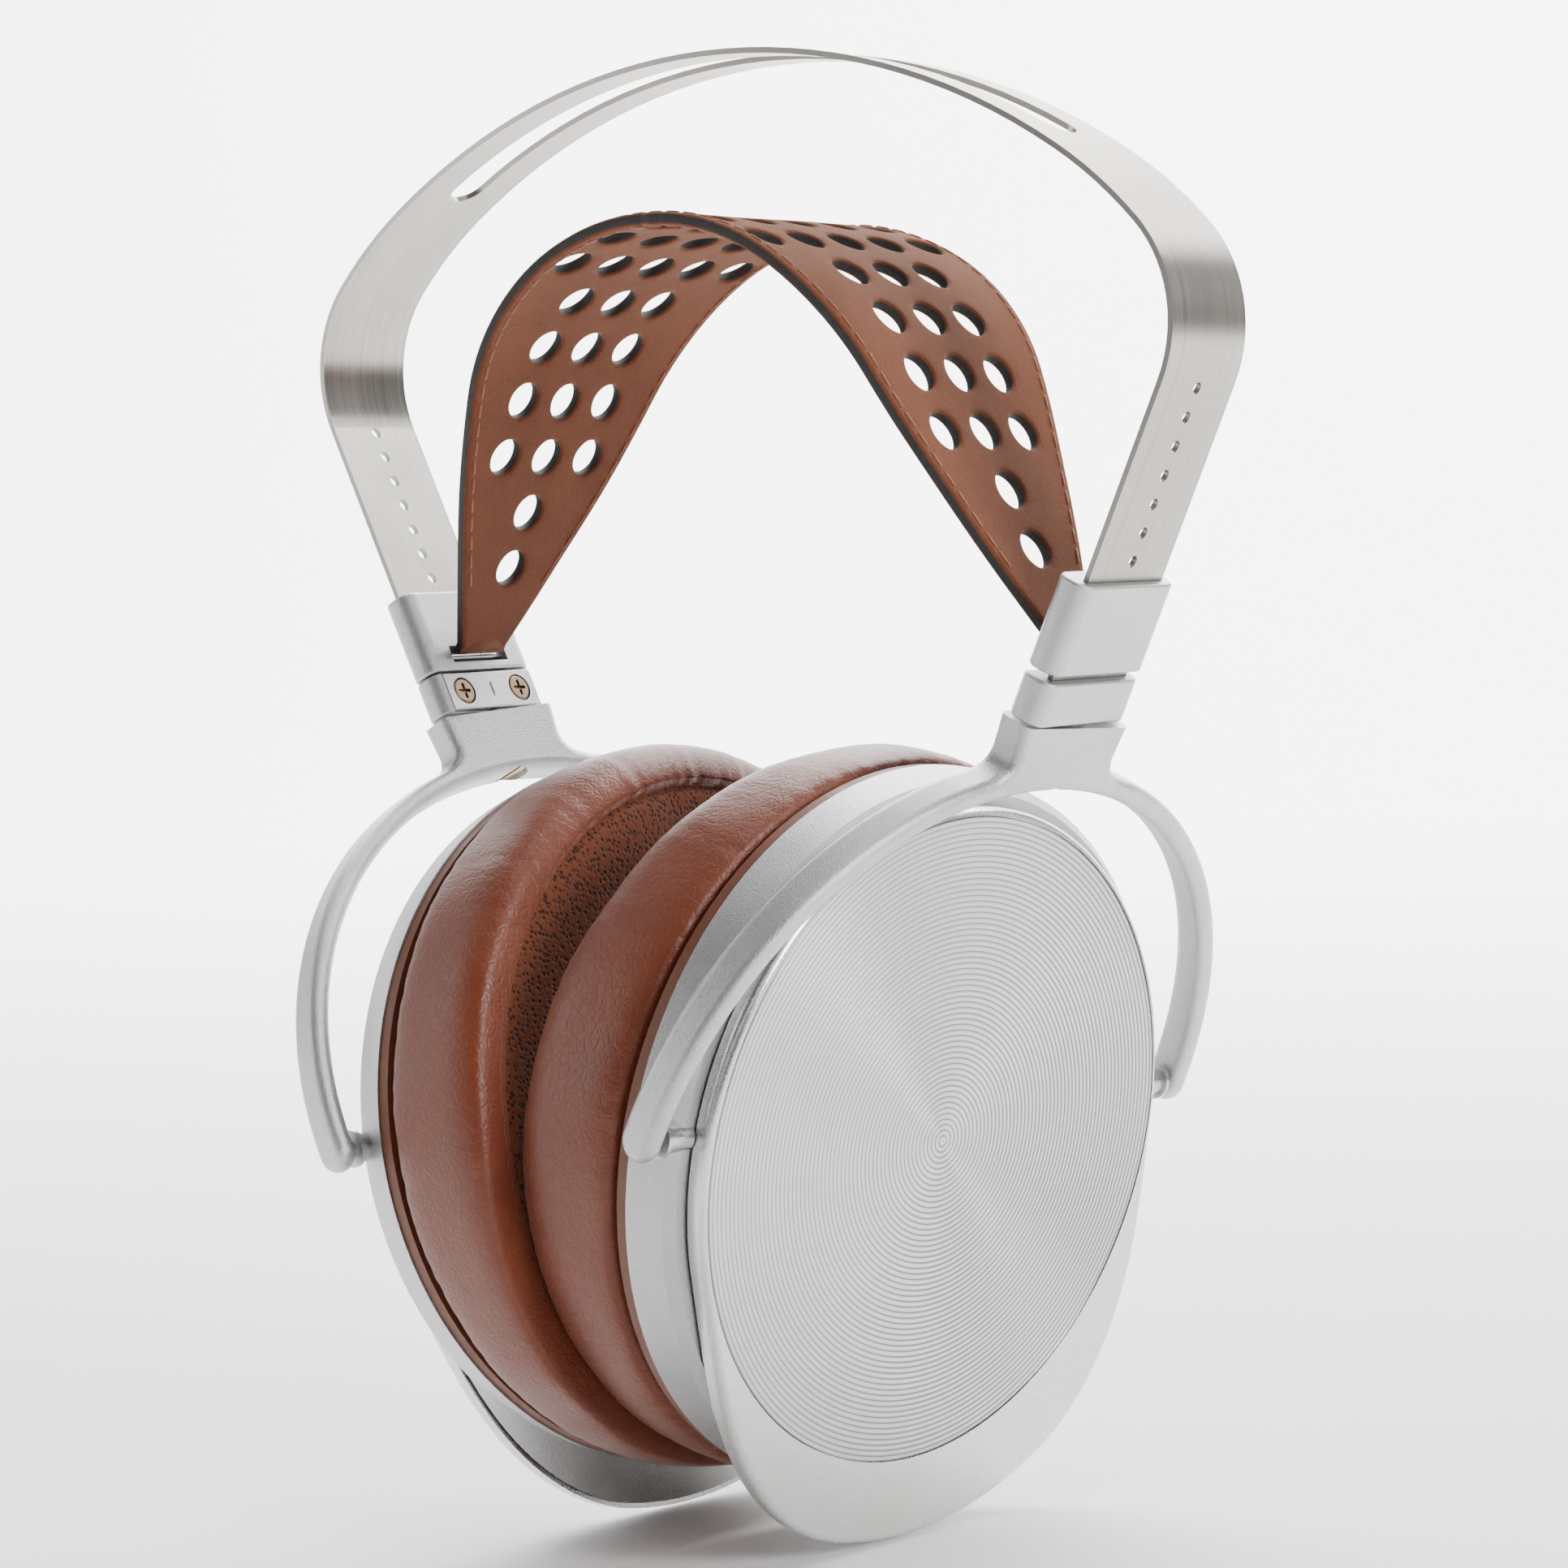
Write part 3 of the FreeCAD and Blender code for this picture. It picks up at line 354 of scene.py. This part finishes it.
def suede():
    """Reddish brown suede with a soft nap."""
    s = Shader("suede", Roughness=0.92, Sheen_Weight=0.30, Sheen_Roughness=0.45,
               Specular_IOR_Level=0.25)
    s.surface.inputs["Sheen Tint"].default_value = (1.0, 0.62, 0.42, 1)
    nap = s.noise(s.place(), 2600.0, 4.0, 0.7)
    patches = s.noise(s.place(), 110.0, 4.0, 0.6)
    s.colour(s.math("ADD", s.math("MULTIPLY", nap, 0.45), s.math("MULTIPLY", patches, 0.55)),
             (0.075, 0.0200, 0.0085), (0.185, 0.0520, 0.0215))
    s.bump(nap, 0.00024)
    return s.material


def cut_edge():
    """Dark painted cut edges of the suede."""
    s = Shader("suede_edge", Roughness=0.7)
    fibres = s.noise(s.place(), 3000.0, 4.0, 0.7)
    s.colour(fibres, (0.006, 0.005, 0.005), (0.022, 0.017, 0.015))
    s.bump(fibres, 0.00012)
    return s.material


def thread():
    s = Shader("stitch_thread", Roughness=0.6, Sheen_Weight=0.3)
    twist = s.noise(s.place(), 5000.0, 2.0)
    s.colour(twist, (0.20, 0.055, 0.018), (0.34, 0.105, 0.035))
    s.bump(twist, 0.00006)
    return s.material


def floor_paint():
    s = Shader("floor", Roughness=0.75)
    s.colour(s.noise(s.place(), 3.0), (0.86, 0.86, 0.86), (0.88, 0.88, 0.88))
    return s.material


def paint(material, *names):
    """Gives CAD nodes a material; a name without its side means both sides."""
    for name in names:
        for node in (name, name + "_left", name + "_right"):
            if node in nodes:
                nodes[node].data.materials.clear()
                nodes[node].data.materials.append(material)


# ---------------------------------------------------------------- meshes

def make_object(name, vertices, faces, materials, picks=None, smooth=True):
    mesh = bpy.data.meshes.new(name)
    mesh.from_pydata([tuple(v) for v in vertices], [], faces)
    for material in materials:
        mesh.materials.append(material)
    for polygon in mesh.polygons:
        polygon.use_smooth = smooth
        if picks:
            polygon.material_index = picks[polygon.index]
    mesh.update()
    obj = bpy.data.objects.new(name, mesh)
    bpy.context.scene.collection.objects.link(obj)
    return obj


def ring_faces(rows, steps):
    """Quads of a closed grid: rows round the section, steps round the axis."""
    faces = []
    for i in range(steps):
        for j in range(rows):
            a, b = i * rows + j, i * rows + (j + 1) % rows
            c = ((i + 1) % steps) * rows
            faces.append((a, b, c + (j + 1) % rows, c + j))
    return faces


def apply_modifiers(obj):
    graph = bpy.context.evaluated_depsgraph_get()
    mesh = bpy.data.meshes.new_from_object(obj.evaluated_get(graph))
    old = obj.data
    obj.modifiers.clear()
    obj.data = mesh
    bpy.data.meshes.remove(old)


def face_outward(obj):
    """Turns every face of a closed mesh the same way, outwards."""
    work = bmesh.new()
    work.from_mesh(obj.data)
    bmesh.ops.recalc_face_normals(work, faces=work.faces)
    work.to_mesh(obj.data)
    work.free()


# ---------------------------------------------------------------- spun discs

def disc_profile():
    """Radius and height of the grooved face, from the centre to the rim."""
    pitch = (DISC_RADIUS - DISC_EDGE) / DISC_GROOVES
    points = [(0.0, DISC_FACE)]
    for k in range(DISC_GROOVES):
        r = pitch * (k + 0.5)
        points.append((r, DISC_FACE))
        points.append((r + pitch * 0.42, DISC_FACE - GROOVE_DEPTH))
        points.append((r + pitch * 0.58, DISC_FACE - GROOVE_DEPTH))
    points.append((DISC_RADIUS - DISC_EDGE, DISC_FACE))
    return points


def spun_disc(name, material):
    """The cover's disc with its spun grooves, in place of the plain CAD disc."""
    matrix = cup_frame(name)
    steps = DISC_STEPS
    rim = [(DISC_RADIUS, DISC_FACE - DISC_EDGE), (DISC_RADIUS, DISC_FACE - DISC_THICK),
           (0.0, DISC_FACE - DISC_THICK)]
    profile = disc_profile() + rim
    vertices, faces, uvs = [], [], []
    for _, x in (profile[0], profile[-1]):
        vertices.append(matrix @ Vector((x, 0, -CUP_DROP)))
    inner = profile[1:-1]
    rows = len(inner)
    for i in range(steps):
        a = 2 * math.pi * i / steps
        for r, x in inner:
            local = Vector((x, r * math.cos(a), r * math.sin(a) - CUP_DROP))
            vertices.append(matrix @ local)
    for i in range(steps):
        here, there = 2 + i * rows, 2 + (i + 1) % steps * rows
        faces.append((0, here, there))
        uvs.append(((i + 0.5, 0), (i, inner[0][0]), (i + 1, inner[0][0])))
        for j in range(rows - 1):
            faces.append((here + j, here + j + 1, there + j + 1, there + j))
            uvs.append(((i, inner[j][0]), (i, inner[j + 1][0]),
                        (i + 1, inner[j + 1][0]), (i + 1, inner[j][0])))
        faces.append((1, there + rows - 1, here + rows - 1))
        uvs.append(((i + 0.5, 0), (i + 1, inner[-1][0]), (i, inner[-1][0])))
    obj = make_object("spun_disc_" + name, vertices, faces, [material])
    layer = obj.data.uv_layers.new(name="UVMap")
    for polygon, corners in zip(obj.data.polygons, uvs):
        for loop, (u, v) in zip(polygon.loop_indices, corners):
            layer.data[loop].uv = (u / steps, v / DISC_RADIUS)
    face_outward(obj)
    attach(obj, "cover_" + name)
    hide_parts("cover_disc_" + name)
    return obj


# ---------------------------------------------------------------- ear pads

def arc(centre_r, centre_h, radius, start, end, count):
    points = []
    for i in range(count):
        a = math.radians(start + (end - start) * i / (count - 1))
        points.append((centre_r + radius * math.cos(a), centre_h + radius * math.sin(a)))
    return points


def pad_profile(height):
    """Section of the pad as (radius, height above its base, kind)."""
    outer = [(PAD_RADIUS - PAD_TUCK, 0.0), (PAD_RADIUS - 0.4 * MM, 1.4 * MM),
             (PAD_RADIUS, 4.0 * MM)]
    outer += arc(PAD_RADIUS - PAD_ROUND, height - PAD_ROUND, PAD_ROUND, 0, 90, 6)
    face = [(PAD_SEAM + 0.6 * MM, height), (PAD_SEAM, height - 0.5 * MM),
            (PAD_SEAM - 0.6 * MM, height)]
    gap = PAD_SEAM - PAD_OPENING - PAD_INNER_ROUND
    face += [(PAD_SEAM - gap * k / 3, height) for k in (1, 2)]
    inner = arc(PAD_OPENING + PAD_INNER_ROUND, height - PAD_INNER_ROUND, PAD_INNER_ROUND,
                90, 180, 5)
    inner += [(PAD_OPENING, 3.0 * MM), (PAD_OPENING + 0.5 * MM, 0.0)]
    base = [(PAD_OPENING + 8 * MM, 0.0), (PAD_SEAM, 0.0)]
    return ([(r, h, "skin") for r, h in outer] + [(r, h, "knit") for r, h in face + inner]
            + [(r, h, "base") for r, h in base])


def pad_point(matrix, r, h, a):
    y = r * math.cos(a)
    local = Vector((PAD_BACK - h, y, r * math.sin(a) - CUP_DROP))
    return matrix @ local


def pad_rows(a):
    """The section at an angle: the face slopes, so the pad is thicker at the back."""
    rows = []
    for r, h, kind in pad_profile(PAD_DEPTH):
        lift = max(0.0, h / PAD_DEPTH) * PAD_WEDGE * r * math.cos(a)
        rows.append((r, h - lift, kind))
    return rows


def inflate(obj, pins):
    """Cloth with air pressure plumps the pad between its pinned seams."""
    group = obj.vertex_groups.new(name="seams")
    group.add(pins, 1.0, "REPLACE")
    start = [v.co.copy() for v in obj.data.vertices]
    cloth = obj.modifiers.new("Cloth", "CLOTH")
    cloth.settings.quality = 6
    cloth.settings.mass = 0.3
    cloth.settings.tension_stiffness = 25
    cloth.settings.compression_stiffness = 20
    cloth.settings.bending_stiffness = 2.0
    cloth.settings.use_pressure = True
    cloth.settings.uniform_pressure_force = 4.0
    cloth.settings.vertex_group_mass = "seams"
    cloth.settings.effector_weights.gravity = 0
    cloth.point_cache.frame_start = 1
    cloth.point_cache.frame_end = CLOTH_FRAMES
    scene = bpy.context.scene
    for f in range(1, CLOTH_FRAMES + 1):
        scene.frame_set(f)
        bpy.context.view_layer.update()
    apply_modifiers(obj)
    scene.frame_set(1)
    for vertex, old in zip(obj.data.vertices, start):
        move = vertex.co - old
        if move.length > PAD_MOVE:
            vertex.co = old + move.normalized() * PAD_MOVE


def pucker(obj, matrix, seed):
    """Creases that run out from the seam and up from the base, and slow waves."""
    rng = random.Random(seed)
    phases = [rng.uniform(0, 2 * math.pi) for _ in range(4)]
    counts = (61, 83, 47, 109)
    inverse = matrix.inverted()
    mesh = obj.data
    normals = [v.normal.copy() for v in mesh.vertices]
    for vertex, normal in zip(mesh.vertices, normals):
        p = inverse @ vertex.co
        r = math.hypot(p.y, p.z + CUP_DROP)
        a = math.atan2(p.z + CUP_DROP, p.y)
        high = p.x < PAD_BACK - PAD_DEPTH * 0.5
        crease = sum(math.cos(n * a + f + 2 * noise.noise(vertex.co * 60))
                     for n, f in zip(counts, phases)) / len(counts)
        near = math.exp(-abs(r - PAD_SEAM) / (3.6 * MM)) if high and r > PAD_SEAM else 0.0
        low = math.exp(-abs(p.x - PAD_BACK) / (2.6 * MM)) if r > PAD_SEAM else 0.0
        wave = noise.noise(vertex.co * 75) * 0.35 * MM
        seam = -0.9 * MM * math.exp(-((r - PAD_SEAM) / (0.9 * MM)) ** 2) if high else 0.0
        depth = crease * (0.30 * MM * near + 0.15 * MM * low) + wave + seam
        vertex.co += normal * depth
    mesh.update()


def turned_about(joint, share):
    """How a joint moves its child at a share of its travel from rest."""
    low, high = joint["range_deg"]
    angle = math.radians(low + high) * share
    pivot = Matrix.Translation(Vector(joint["pos_m"]))
    return pivot @ Matrix.Rotation(angle, 4, Vector(joint["axis"])) @ pivot.inverted()


def flatten_on_other(obj, name):
    """Rests the pad on the other pad, at rest and wherever its cup is turned."""
    side = SIDES[name]
    plane = Vector((math.cos(PAD_PLANE_TURN), math.sin(PAD_PLANE_TURN), 0)) * side
    soft = PAD_SOFT
    for swing in (0, 1):
        for tip in (0, 1):
            move = (turned_about(joints["yoke_swivel_" + name], swing)
                    @ turned_about(joints["cup_tilt_" + name], tip))
            back = move.inverted()
            for vertex in obj.data.vertices:
                place = move @ vertex.co
                over = place.dot(plane) - PAD_GAP
                if over < 6 * soft:
                    new = soft * math.log1p(math.exp(over / soft))
                    vertex.co = back @ (place + plane * (new - over))
    obj.data.update()


def ear_pad(name, skin, knit):
    matrix = cup_frame(name)
    vertices, kinds = [], []
    for i in range(PAD_STEPS):
        a = 2 * math.pi * i / PAD_STEPS
        for r, h, kind in pad_rows(a):
            vertices.append(pad_point(matrix, r, h, a))
            kinds.append(kind)
    rows = len(vertices) // PAD_STEPS
    faces = ring_faces(rows, PAD_STEPS)
    first_knit = kinds.index("knit")
    seam_row = first_knit + 1
    base_row = kinds.index("base")
    picks = [1 if seam_row <= f[0] % rows < base_row else 0 for f in faces]
    obj = make_object("ear_pad_" + name, vertices, faces, [skin, knit], picks)
    face_outward(obj)
    pins = [i for i in range(len(vertices))
            if kinds[i] == "base" or i % rows in (0, seam_row, base_row - 1)]
    inflate(obj, pins)
    finer = obj.modifiers.new("Finer", "SUBSURF")
    finer.levels = 3
    finer.render_levels = 3
    apply_modifiers(obj)
    pucker(obj, matrix, 11 + SIDES[name])
    flatten_on_other(obj, name)
    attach(obj, "cup_" + name)
    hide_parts("pad_leather_" + name, "pad_fabric_" + name)
    return obj


# ---------------------------------------------------------------- strap

def strap_shape():
    """Centre height, arc angle and straight run of the strap's arch."""
    low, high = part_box("strap")
    centre_z = STRAP_TOP - STRAP_THICK / 2 - STRAP_RADIUS
    foot_x, foot_z = high.x - STRAP_THICK / 2, low.z
    dx, dz = foot_x, foot_z - centre_z
    dist = math.hypot(dx, dz)
    angle = math.atan2(dx, dz) - math.acos(STRAP_RADIUS / dist)
    run = math.sqrt(dist * dist - STRAP_RADIUS ** 2)
    return centre_z, angle, run


def strap_point(shape, s):
    """Point and outward normal at a distance from the crown, on the +X side."""
    centre_z, angle, _ = shape
    centre = Vector((0, 0, centre_z))
    a = min(s / STRAP_RADIUS, angle)
    normal = Vector((math.sin(a), 0, math.cos(a)))
    along = Vector((math.cos(a), 0, -math.sin(a)))
    return centre + normal * STRAP_RADIUS + along * (s - a * STRAP_RADIUS), normal


def strap_half_width(length, s):
    part = max(0.0, min(1.0, (length - s) / STRAP_FLARE))
    grow = STRAP_CROWN_WIDTH - STRAP_END_WIDTH
    return (STRAP_END_WIDTH + grow * math.sin(math.pi / 2 * part)) / 2


def strap_holes(length):
    """Flat centres of the holes of one half, as (distance from the crown, y)."""
    centres = []
    first = length - STRAP_PITCH * (len(STRAP_ROWS) - 1)
    for i, count in enumerate(STRAP_ROWS):
        s = length - first - i * STRAP_PITCH
        for j in range(count):
            centres.append((s, (j - (count - 1) / 2) * STRAP_PITCH))
    return centres


def strap_outline(length, tail):
    """Half of the strap laid flat: one of its curved sides, from the crown to the tail."""
    steps = 48
    side = [(length * i / steps, strap_half_width(length, length * i / steps))
            for i in range(steps + 1)]
    side.append((length + tail, STRAP_END_WIDTH / 2))
    return side


def edge_distance(length, holes, s, y):
    """Distance from a flat point to the nearest cut edge."""
    side = strap_half_width(length, s) - abs(y)
    nearest = min((math.hypot(s - a, y - b) for a, b in holes), default=1.0) - STRAP_HOLE
    return min(side, nearest)


def flat_strap(length, tail, holes):
    """Triangulated flat strap half, with rings of points round every hole."""
    points, edges = [], []

    def loop(ring, closed=True):
        first = len(points)
        points.extend(ring)
        count = len(ring)
        for i in range(count if closed else count - 1):
            edges.append((first + i, first + (i + 1) % count))

    side = strap_outline(length, tail)
    crown = STRAP_CROWN_WIDTH / 2
    across = [(0.0, -crown + 2 * crown * i / 24) for i in range(1, 24)]
    border = across + side + [(s, -y) for s, y in reversed(side)]
    loop(border)
    for inset in STRAP_EDGE_RINGS:
        for sign in (1, -1):
            loop([(s, sign * (y - inset)) for s, y in side[:-1]], closed=False)
    for s0, y0 in holes:
        for inset in (0.0, *STRAP_EDGE_RINGS):
            radius, count = STRAP_HOLE + inset, HOLE_STEPS
            ring = [(s0 + radius * math.cos(2 * math.pi * k / count),
                     y0 + radius * math.sin(2 * math.pi * k / count)) for k in range(count)]
            ring = [p for p in ring if p[0] > -1e-9]
            whole = len(ring) == count
            if not whole:
                half = HOLE_STEPS // 2
                turns = [math.pi * (k / half - 0.5) for k in range(half + 1)]
                ring = [(s0 + radius * math.cos(a), y0 + radius * math.sin(a)) for a in turns]
            loop(ring, closed=whole)
    pitch = STRAP_MESH
    for i in range(1, int(length / pitch)):
        s = i * pitch
        half = strap_half_width(length, s)
        count = int(2 * half / pitch)
        for j in range(1, count):
            y = -half + 2 * half * j / count
            if edge_distance(length, holes, s, y) > 1.2 * MM:
                points.append((s, y))
    flat = [Vector(p) for p in points]
    out = delaunay_2d_cdt(flat, edges, [], 1, 1e-7)
    corners = [(v.x, v.y) for v in out[0]]
    faces = []
    for face in out[2]:
        s = sum(corners[k][0] for k in face) / len(face)
        y = sum(corners[k][1] for k in face) / len(face)
        if edge_distance(length, holes, s, y) > -1e-7 or s > length:
            if all(math.hypot(s - a, y - b) > STRAP_HOLE * 0.995 for a, b in holes):
                faces.append(tuple(face))
    return corners, faces


def strap_lift(length, holes, s, y):
    """Half thickness of the suede, rounded off towards its cut edges."""
    near = edge_distance(length, holes, s, y)
    if s > length - 0.5 * MM:
        near = STRAP_END_WIDTH / 2 - abs(y)
    part = max(0.0, min(1.0, near / STRAP_EDGE_SOFT))
    return STRAP_THICK / 2 * (0.62 + 0.38 * math.sqrt(1 - (1 - part) ** 2))


def strap_wave(s, y):
    """Slow waves in the suede, shared by the strap and its stitches."""
    spot = Vector((s * STRAP_WAVE_RATE, y * STRAP_WAVE_RATE, 3))
    return noise.noise(spot) * STRAP_WAVE


def strap_half(name, materials):
    """One half of the suede strap, from the crown to the fold inside its slider."""
    side = SIDES[name]
    shape = strap_shape()
    length = STRAP_RADIUS * shape[1] + shape[2]
    tail = STRAP_TAIL
    holes = strap_holes(length)
    corners, faces = flat_strap(length, tail, holes)
    upper, lower = [], []
    for s, y in corners:
        p, n = strap_point(shape, s)
        lift = strap_lift(length, holes, s, y)
        wave = strap_wave(s, y)
        p, n = Vector((p.x * side, y, p.z)), Vector((n.x * side, 0, n.z))
        upper.append(p + n * (wave + lift))
        lower.append(p + n * (wave - lift))
    count = len(corners)
    rim = {}
    for face in faces:
        for k in range(len(face)):
            pair = (face[k], face[(k + 1) % len(face)])
            if pair[::-1] in rim:
                del rim[pair[::-1]]
            else:
                rim[pair] = True
    walls = [(a, b, b + count, a + count) for a, b in rim]
    under = [tuple(k + count for k in reversed(face)) for face in faces]
    picks = [0] * (2 * len(faces)) + [1] * len(walls)
    obj = make_object("strap_half_" + name, upper + lower, faces + under + walls,
                      materials, picks)
    face_outward(obj)
    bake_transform(obj)
    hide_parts("strap", "strap_end_" + name)
    real = sum(flat_areas(corners, faces))
    return obj


def flat_areas(corners, faces):
    for face in faces:
        a, b, c = (Vector((*corners[k], 0)) for k in face[:3])
        yield (b - a).cross(c - a).length / 2


def capsule(start, end, radius, sides=7):
    """Vertices and faces of a small round-ended thread from start to end."""
    along = (end - start).normalized()
    across = along.orthogonal().normalized()
    other = along.cross(across)
    rows = ((0.0, 0.55), (0.18, 0.95), (0.5, 1.0), (0.82, 0.95), (1.0, 0.55))
    vertices = []
    for t, scale in rows:
        centre = start.lerp(end, t)
        for k in range(sides):
            a = 2 * math.pi * k / sides
            vertices.append(centre + (across * math.cos(a) + other * math.sin(a))
                            * radius * scale)
    faces = [tuple(reversed(range(sides)))]
    for i in range(len(rows) - 1):
        for k in range(sides):
            a, b = i * sides + k, i * sides + (k + 1) % sides
            faces.append((a, b, b + sides, a + sides))
    last = (len(rows) - 1) * sides
    faces.append(tuple(range(last, last + sides)))
    return vertices, faces


def strap_stitches(name, material):
    """Two rows of stitches along each half, seen on both faces."""
    side = SIDES[name]
    shape = strap_shape()
    length = STRAP_RADIUS * shape[1] + shape[2]
    vertices, faces = [], []
    count = int((length - 8 * MM) / STITCH_PITCH)
    for i in range(count):
        s0 = i * STITCH_PITCH + 0.4 * MM
        s1 = s0 + STITCH_LENGTH
        for sign in (-1, 1):
            for face in (1, -1):
                ends = []
                for s in (s0, s1):
                    p, n = strap_point(shape, s)
                    y = sign * (strap_half_width(length, s) - STITCH_INSET)
                    wave = strap_wave(s, y)
                    n = Vector((n.x * side, 0, n.z))
                    ends.append(Vector((p.x * side, y, p.z))
                                + n * (wave + face * (STRAP_THICK / 2 + 0.06 * MM)))
                more, quads = capsule(ends[0], ends[1], STITCH_RADIUS)
                base = len(vertices)
                vertices += more
                faces += [tuple(k + base for k in quad) for quad in quads]
    obj = make_object("strap_stitches_" + name, vertices, faces, [material])
    face_outward(obj)
    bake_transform(obj)
    return obj


# ---------------------------------------------------------------- stage

def add_stage():
    """Pale floor that curves up into a pale backdrop behind the object."""
    low = cad_box[0][2] - 0.6 * MM
    ahead = Vector((-math.sin(CAMERA_YAW), math.cos(CAMERA_YAW), 0))
    across = Vector((ahead.y, -ahead.x, 0))
    near, far, bend, height, half = -2.5, 1.6, 0.8, 3.2, 3.5
    section = [(near, 0.0)]
    for k in range(13):
        a = math.radians(90 * k / 12)
        section.append((far + bend * math.sin(a), bend * (1 - math.cos(a))))
    section.append((far + bend, height))
    vertices = []
    for depth, up in section:
        for side in (-half, half):
            vertices.append(ahead * depth + across * side + Vector((0, 0, low + up)))
    faces = [(2 * i, 2 * i + 1, 2 * i + 3, 2 * i + 2) for i in range(len(section) - 1)]
    floor = make_object("floor", vertices, faces, [floor_paint()])
    world = bpy.data.worlds.new("studio")
    world.use_nodes = True
    background = world.node_tree.nodes["Background"]
    background.inputs["Color"].default_value = (1.0, 1.0, 1.0, 1)
    background.inputs["Strength"].default_value = WORLD_LIGHT
    bpy.context.scene.world = world


def add_light(name, place, aim, width, height, power):
    data = bpy.data.lights.new(name, "AREA")
    data.shape = "RECTANGLE"
    data.size = width
    data.size_y = height
    data.energy = power
    lamp = bpy.data.objects.new(name, data)
    bpy.context.scene.collection.objects.link(lamp)
    lamp.location = place
    lamp.rotation_euler = (Vector(aim) - Vector(place)).to_track_quat("-Z", "Y").to_euler()


def add_camera():
    yaw, pitch, roll = CAMERA_YAW, CAMERA_PITCH, CAMERA_ROLL
    ahead = Vector((-math.sin(yaw) * math.cos(pitch), math.cos(yaw) * math.cos(pitch),
                    math.sin(pitch)))
    level = Vector((math.cos(yaw), math.sin(yaw), 0))
    above = level.cross(ahead)
    right = level * math.cos(roll) + above * math.sin(roll)
    up = -level * math.sin(roll) + above * math.cos(roll)
    data = bpy.data.cameras.new("camera")
    data.lens = CAMERA_LENS
    data.sensor_width = 36.0
    data.clip_start = 0.01
    camera = bpy.data.objects.new("camera", data)
    bpy.context.scene.collection.objects.link(camera)
    matrix = Matrix((right, up, -ahead)).transposed().to_4x4()
    matrix.translation = CAMERA_AT
    camera.matrix_world = matrix
    bpy.context.scene.camera = camera


def main():
    paint(brushed_strip(), "headband_strip")
    paint(blasted(), "slider_block", "end_block", "end_plate", "yoke", "cup_housing")
    paint(satin_plate(), "cover_plate")
    paint(plain_metal("dark_bronze", (0.16, 0.12, 0.075), (0.30, 0.22, 0.13), 0.3, 0.45),
          "end_plate_screws")
    paint(plain_metal("swivel_brass", (0.52, 0.42, 0.26), (0.72, 0.60, 0.38), 0.25, 0.4),
          "swivel_screw")
    paint(plain_metal("ground_steel", (0.42, 0.42, 0.43), (0.60, 0.60, 0.61), 0.25, 0.4),
          "slider_strap_pin", "slider_click_ball", "slider_click_leaf", "pivot_pins",
          "pivot_bushes")
    paint(plain_metal("nickel_magnet", (0.36, 0.36, 0.38), (0.50, 0.50, 0.52), 0.3, 0.45),
          "cover_catch_magnets", "cover_catch_studs", "driver_magnets")
    paint(plain_metal("socket_metal", (0.40, 0.33, 0.20), (0.62, 0.52, 0.33), 0.25, 0.4),
          "audio_socket")
    paint(plain_metal("black_mesh", (0.05, 0.05, 0.05), (0.10, 0.10, 0.10), 0.45, 0.6),
          "driver_mesh")
    paint(plastic("nylon", (0.05, 0.05, 0.05), (0.09, 0.09, 0.09)), "swivel_washer")
    paint(plastic("driver_plastic", (0.025, 0.025, 0.028), (0.05, 0.05, 0.055)),
          "driver_frame")
    paint(plastic("film", (0.42, 0.34, 0.20), (0.56, 0.46, 0.28), 0.15, 0.3), "driver_film")
    paint(plastic("pad_plastic", (0.115, 0.032, 0.013), (0.150, 0.043, 0.018)),
          "pad_base_ring")
    disc, skin, knit = spun_metal(), pad_skin(), pad_knit()
    hide, edge, sewing = suede(), cut_edge(), thread()
    for name in SIDES:
        spun_disc(name, disc)
        ear_pad(name, skin, knit)
        strap_half(name, [hide, edge])
        strap_stitches(name, sewing)
    add_stage()
    for light in LIGHTS:
        add_light(*light)
    add_camera()


main()
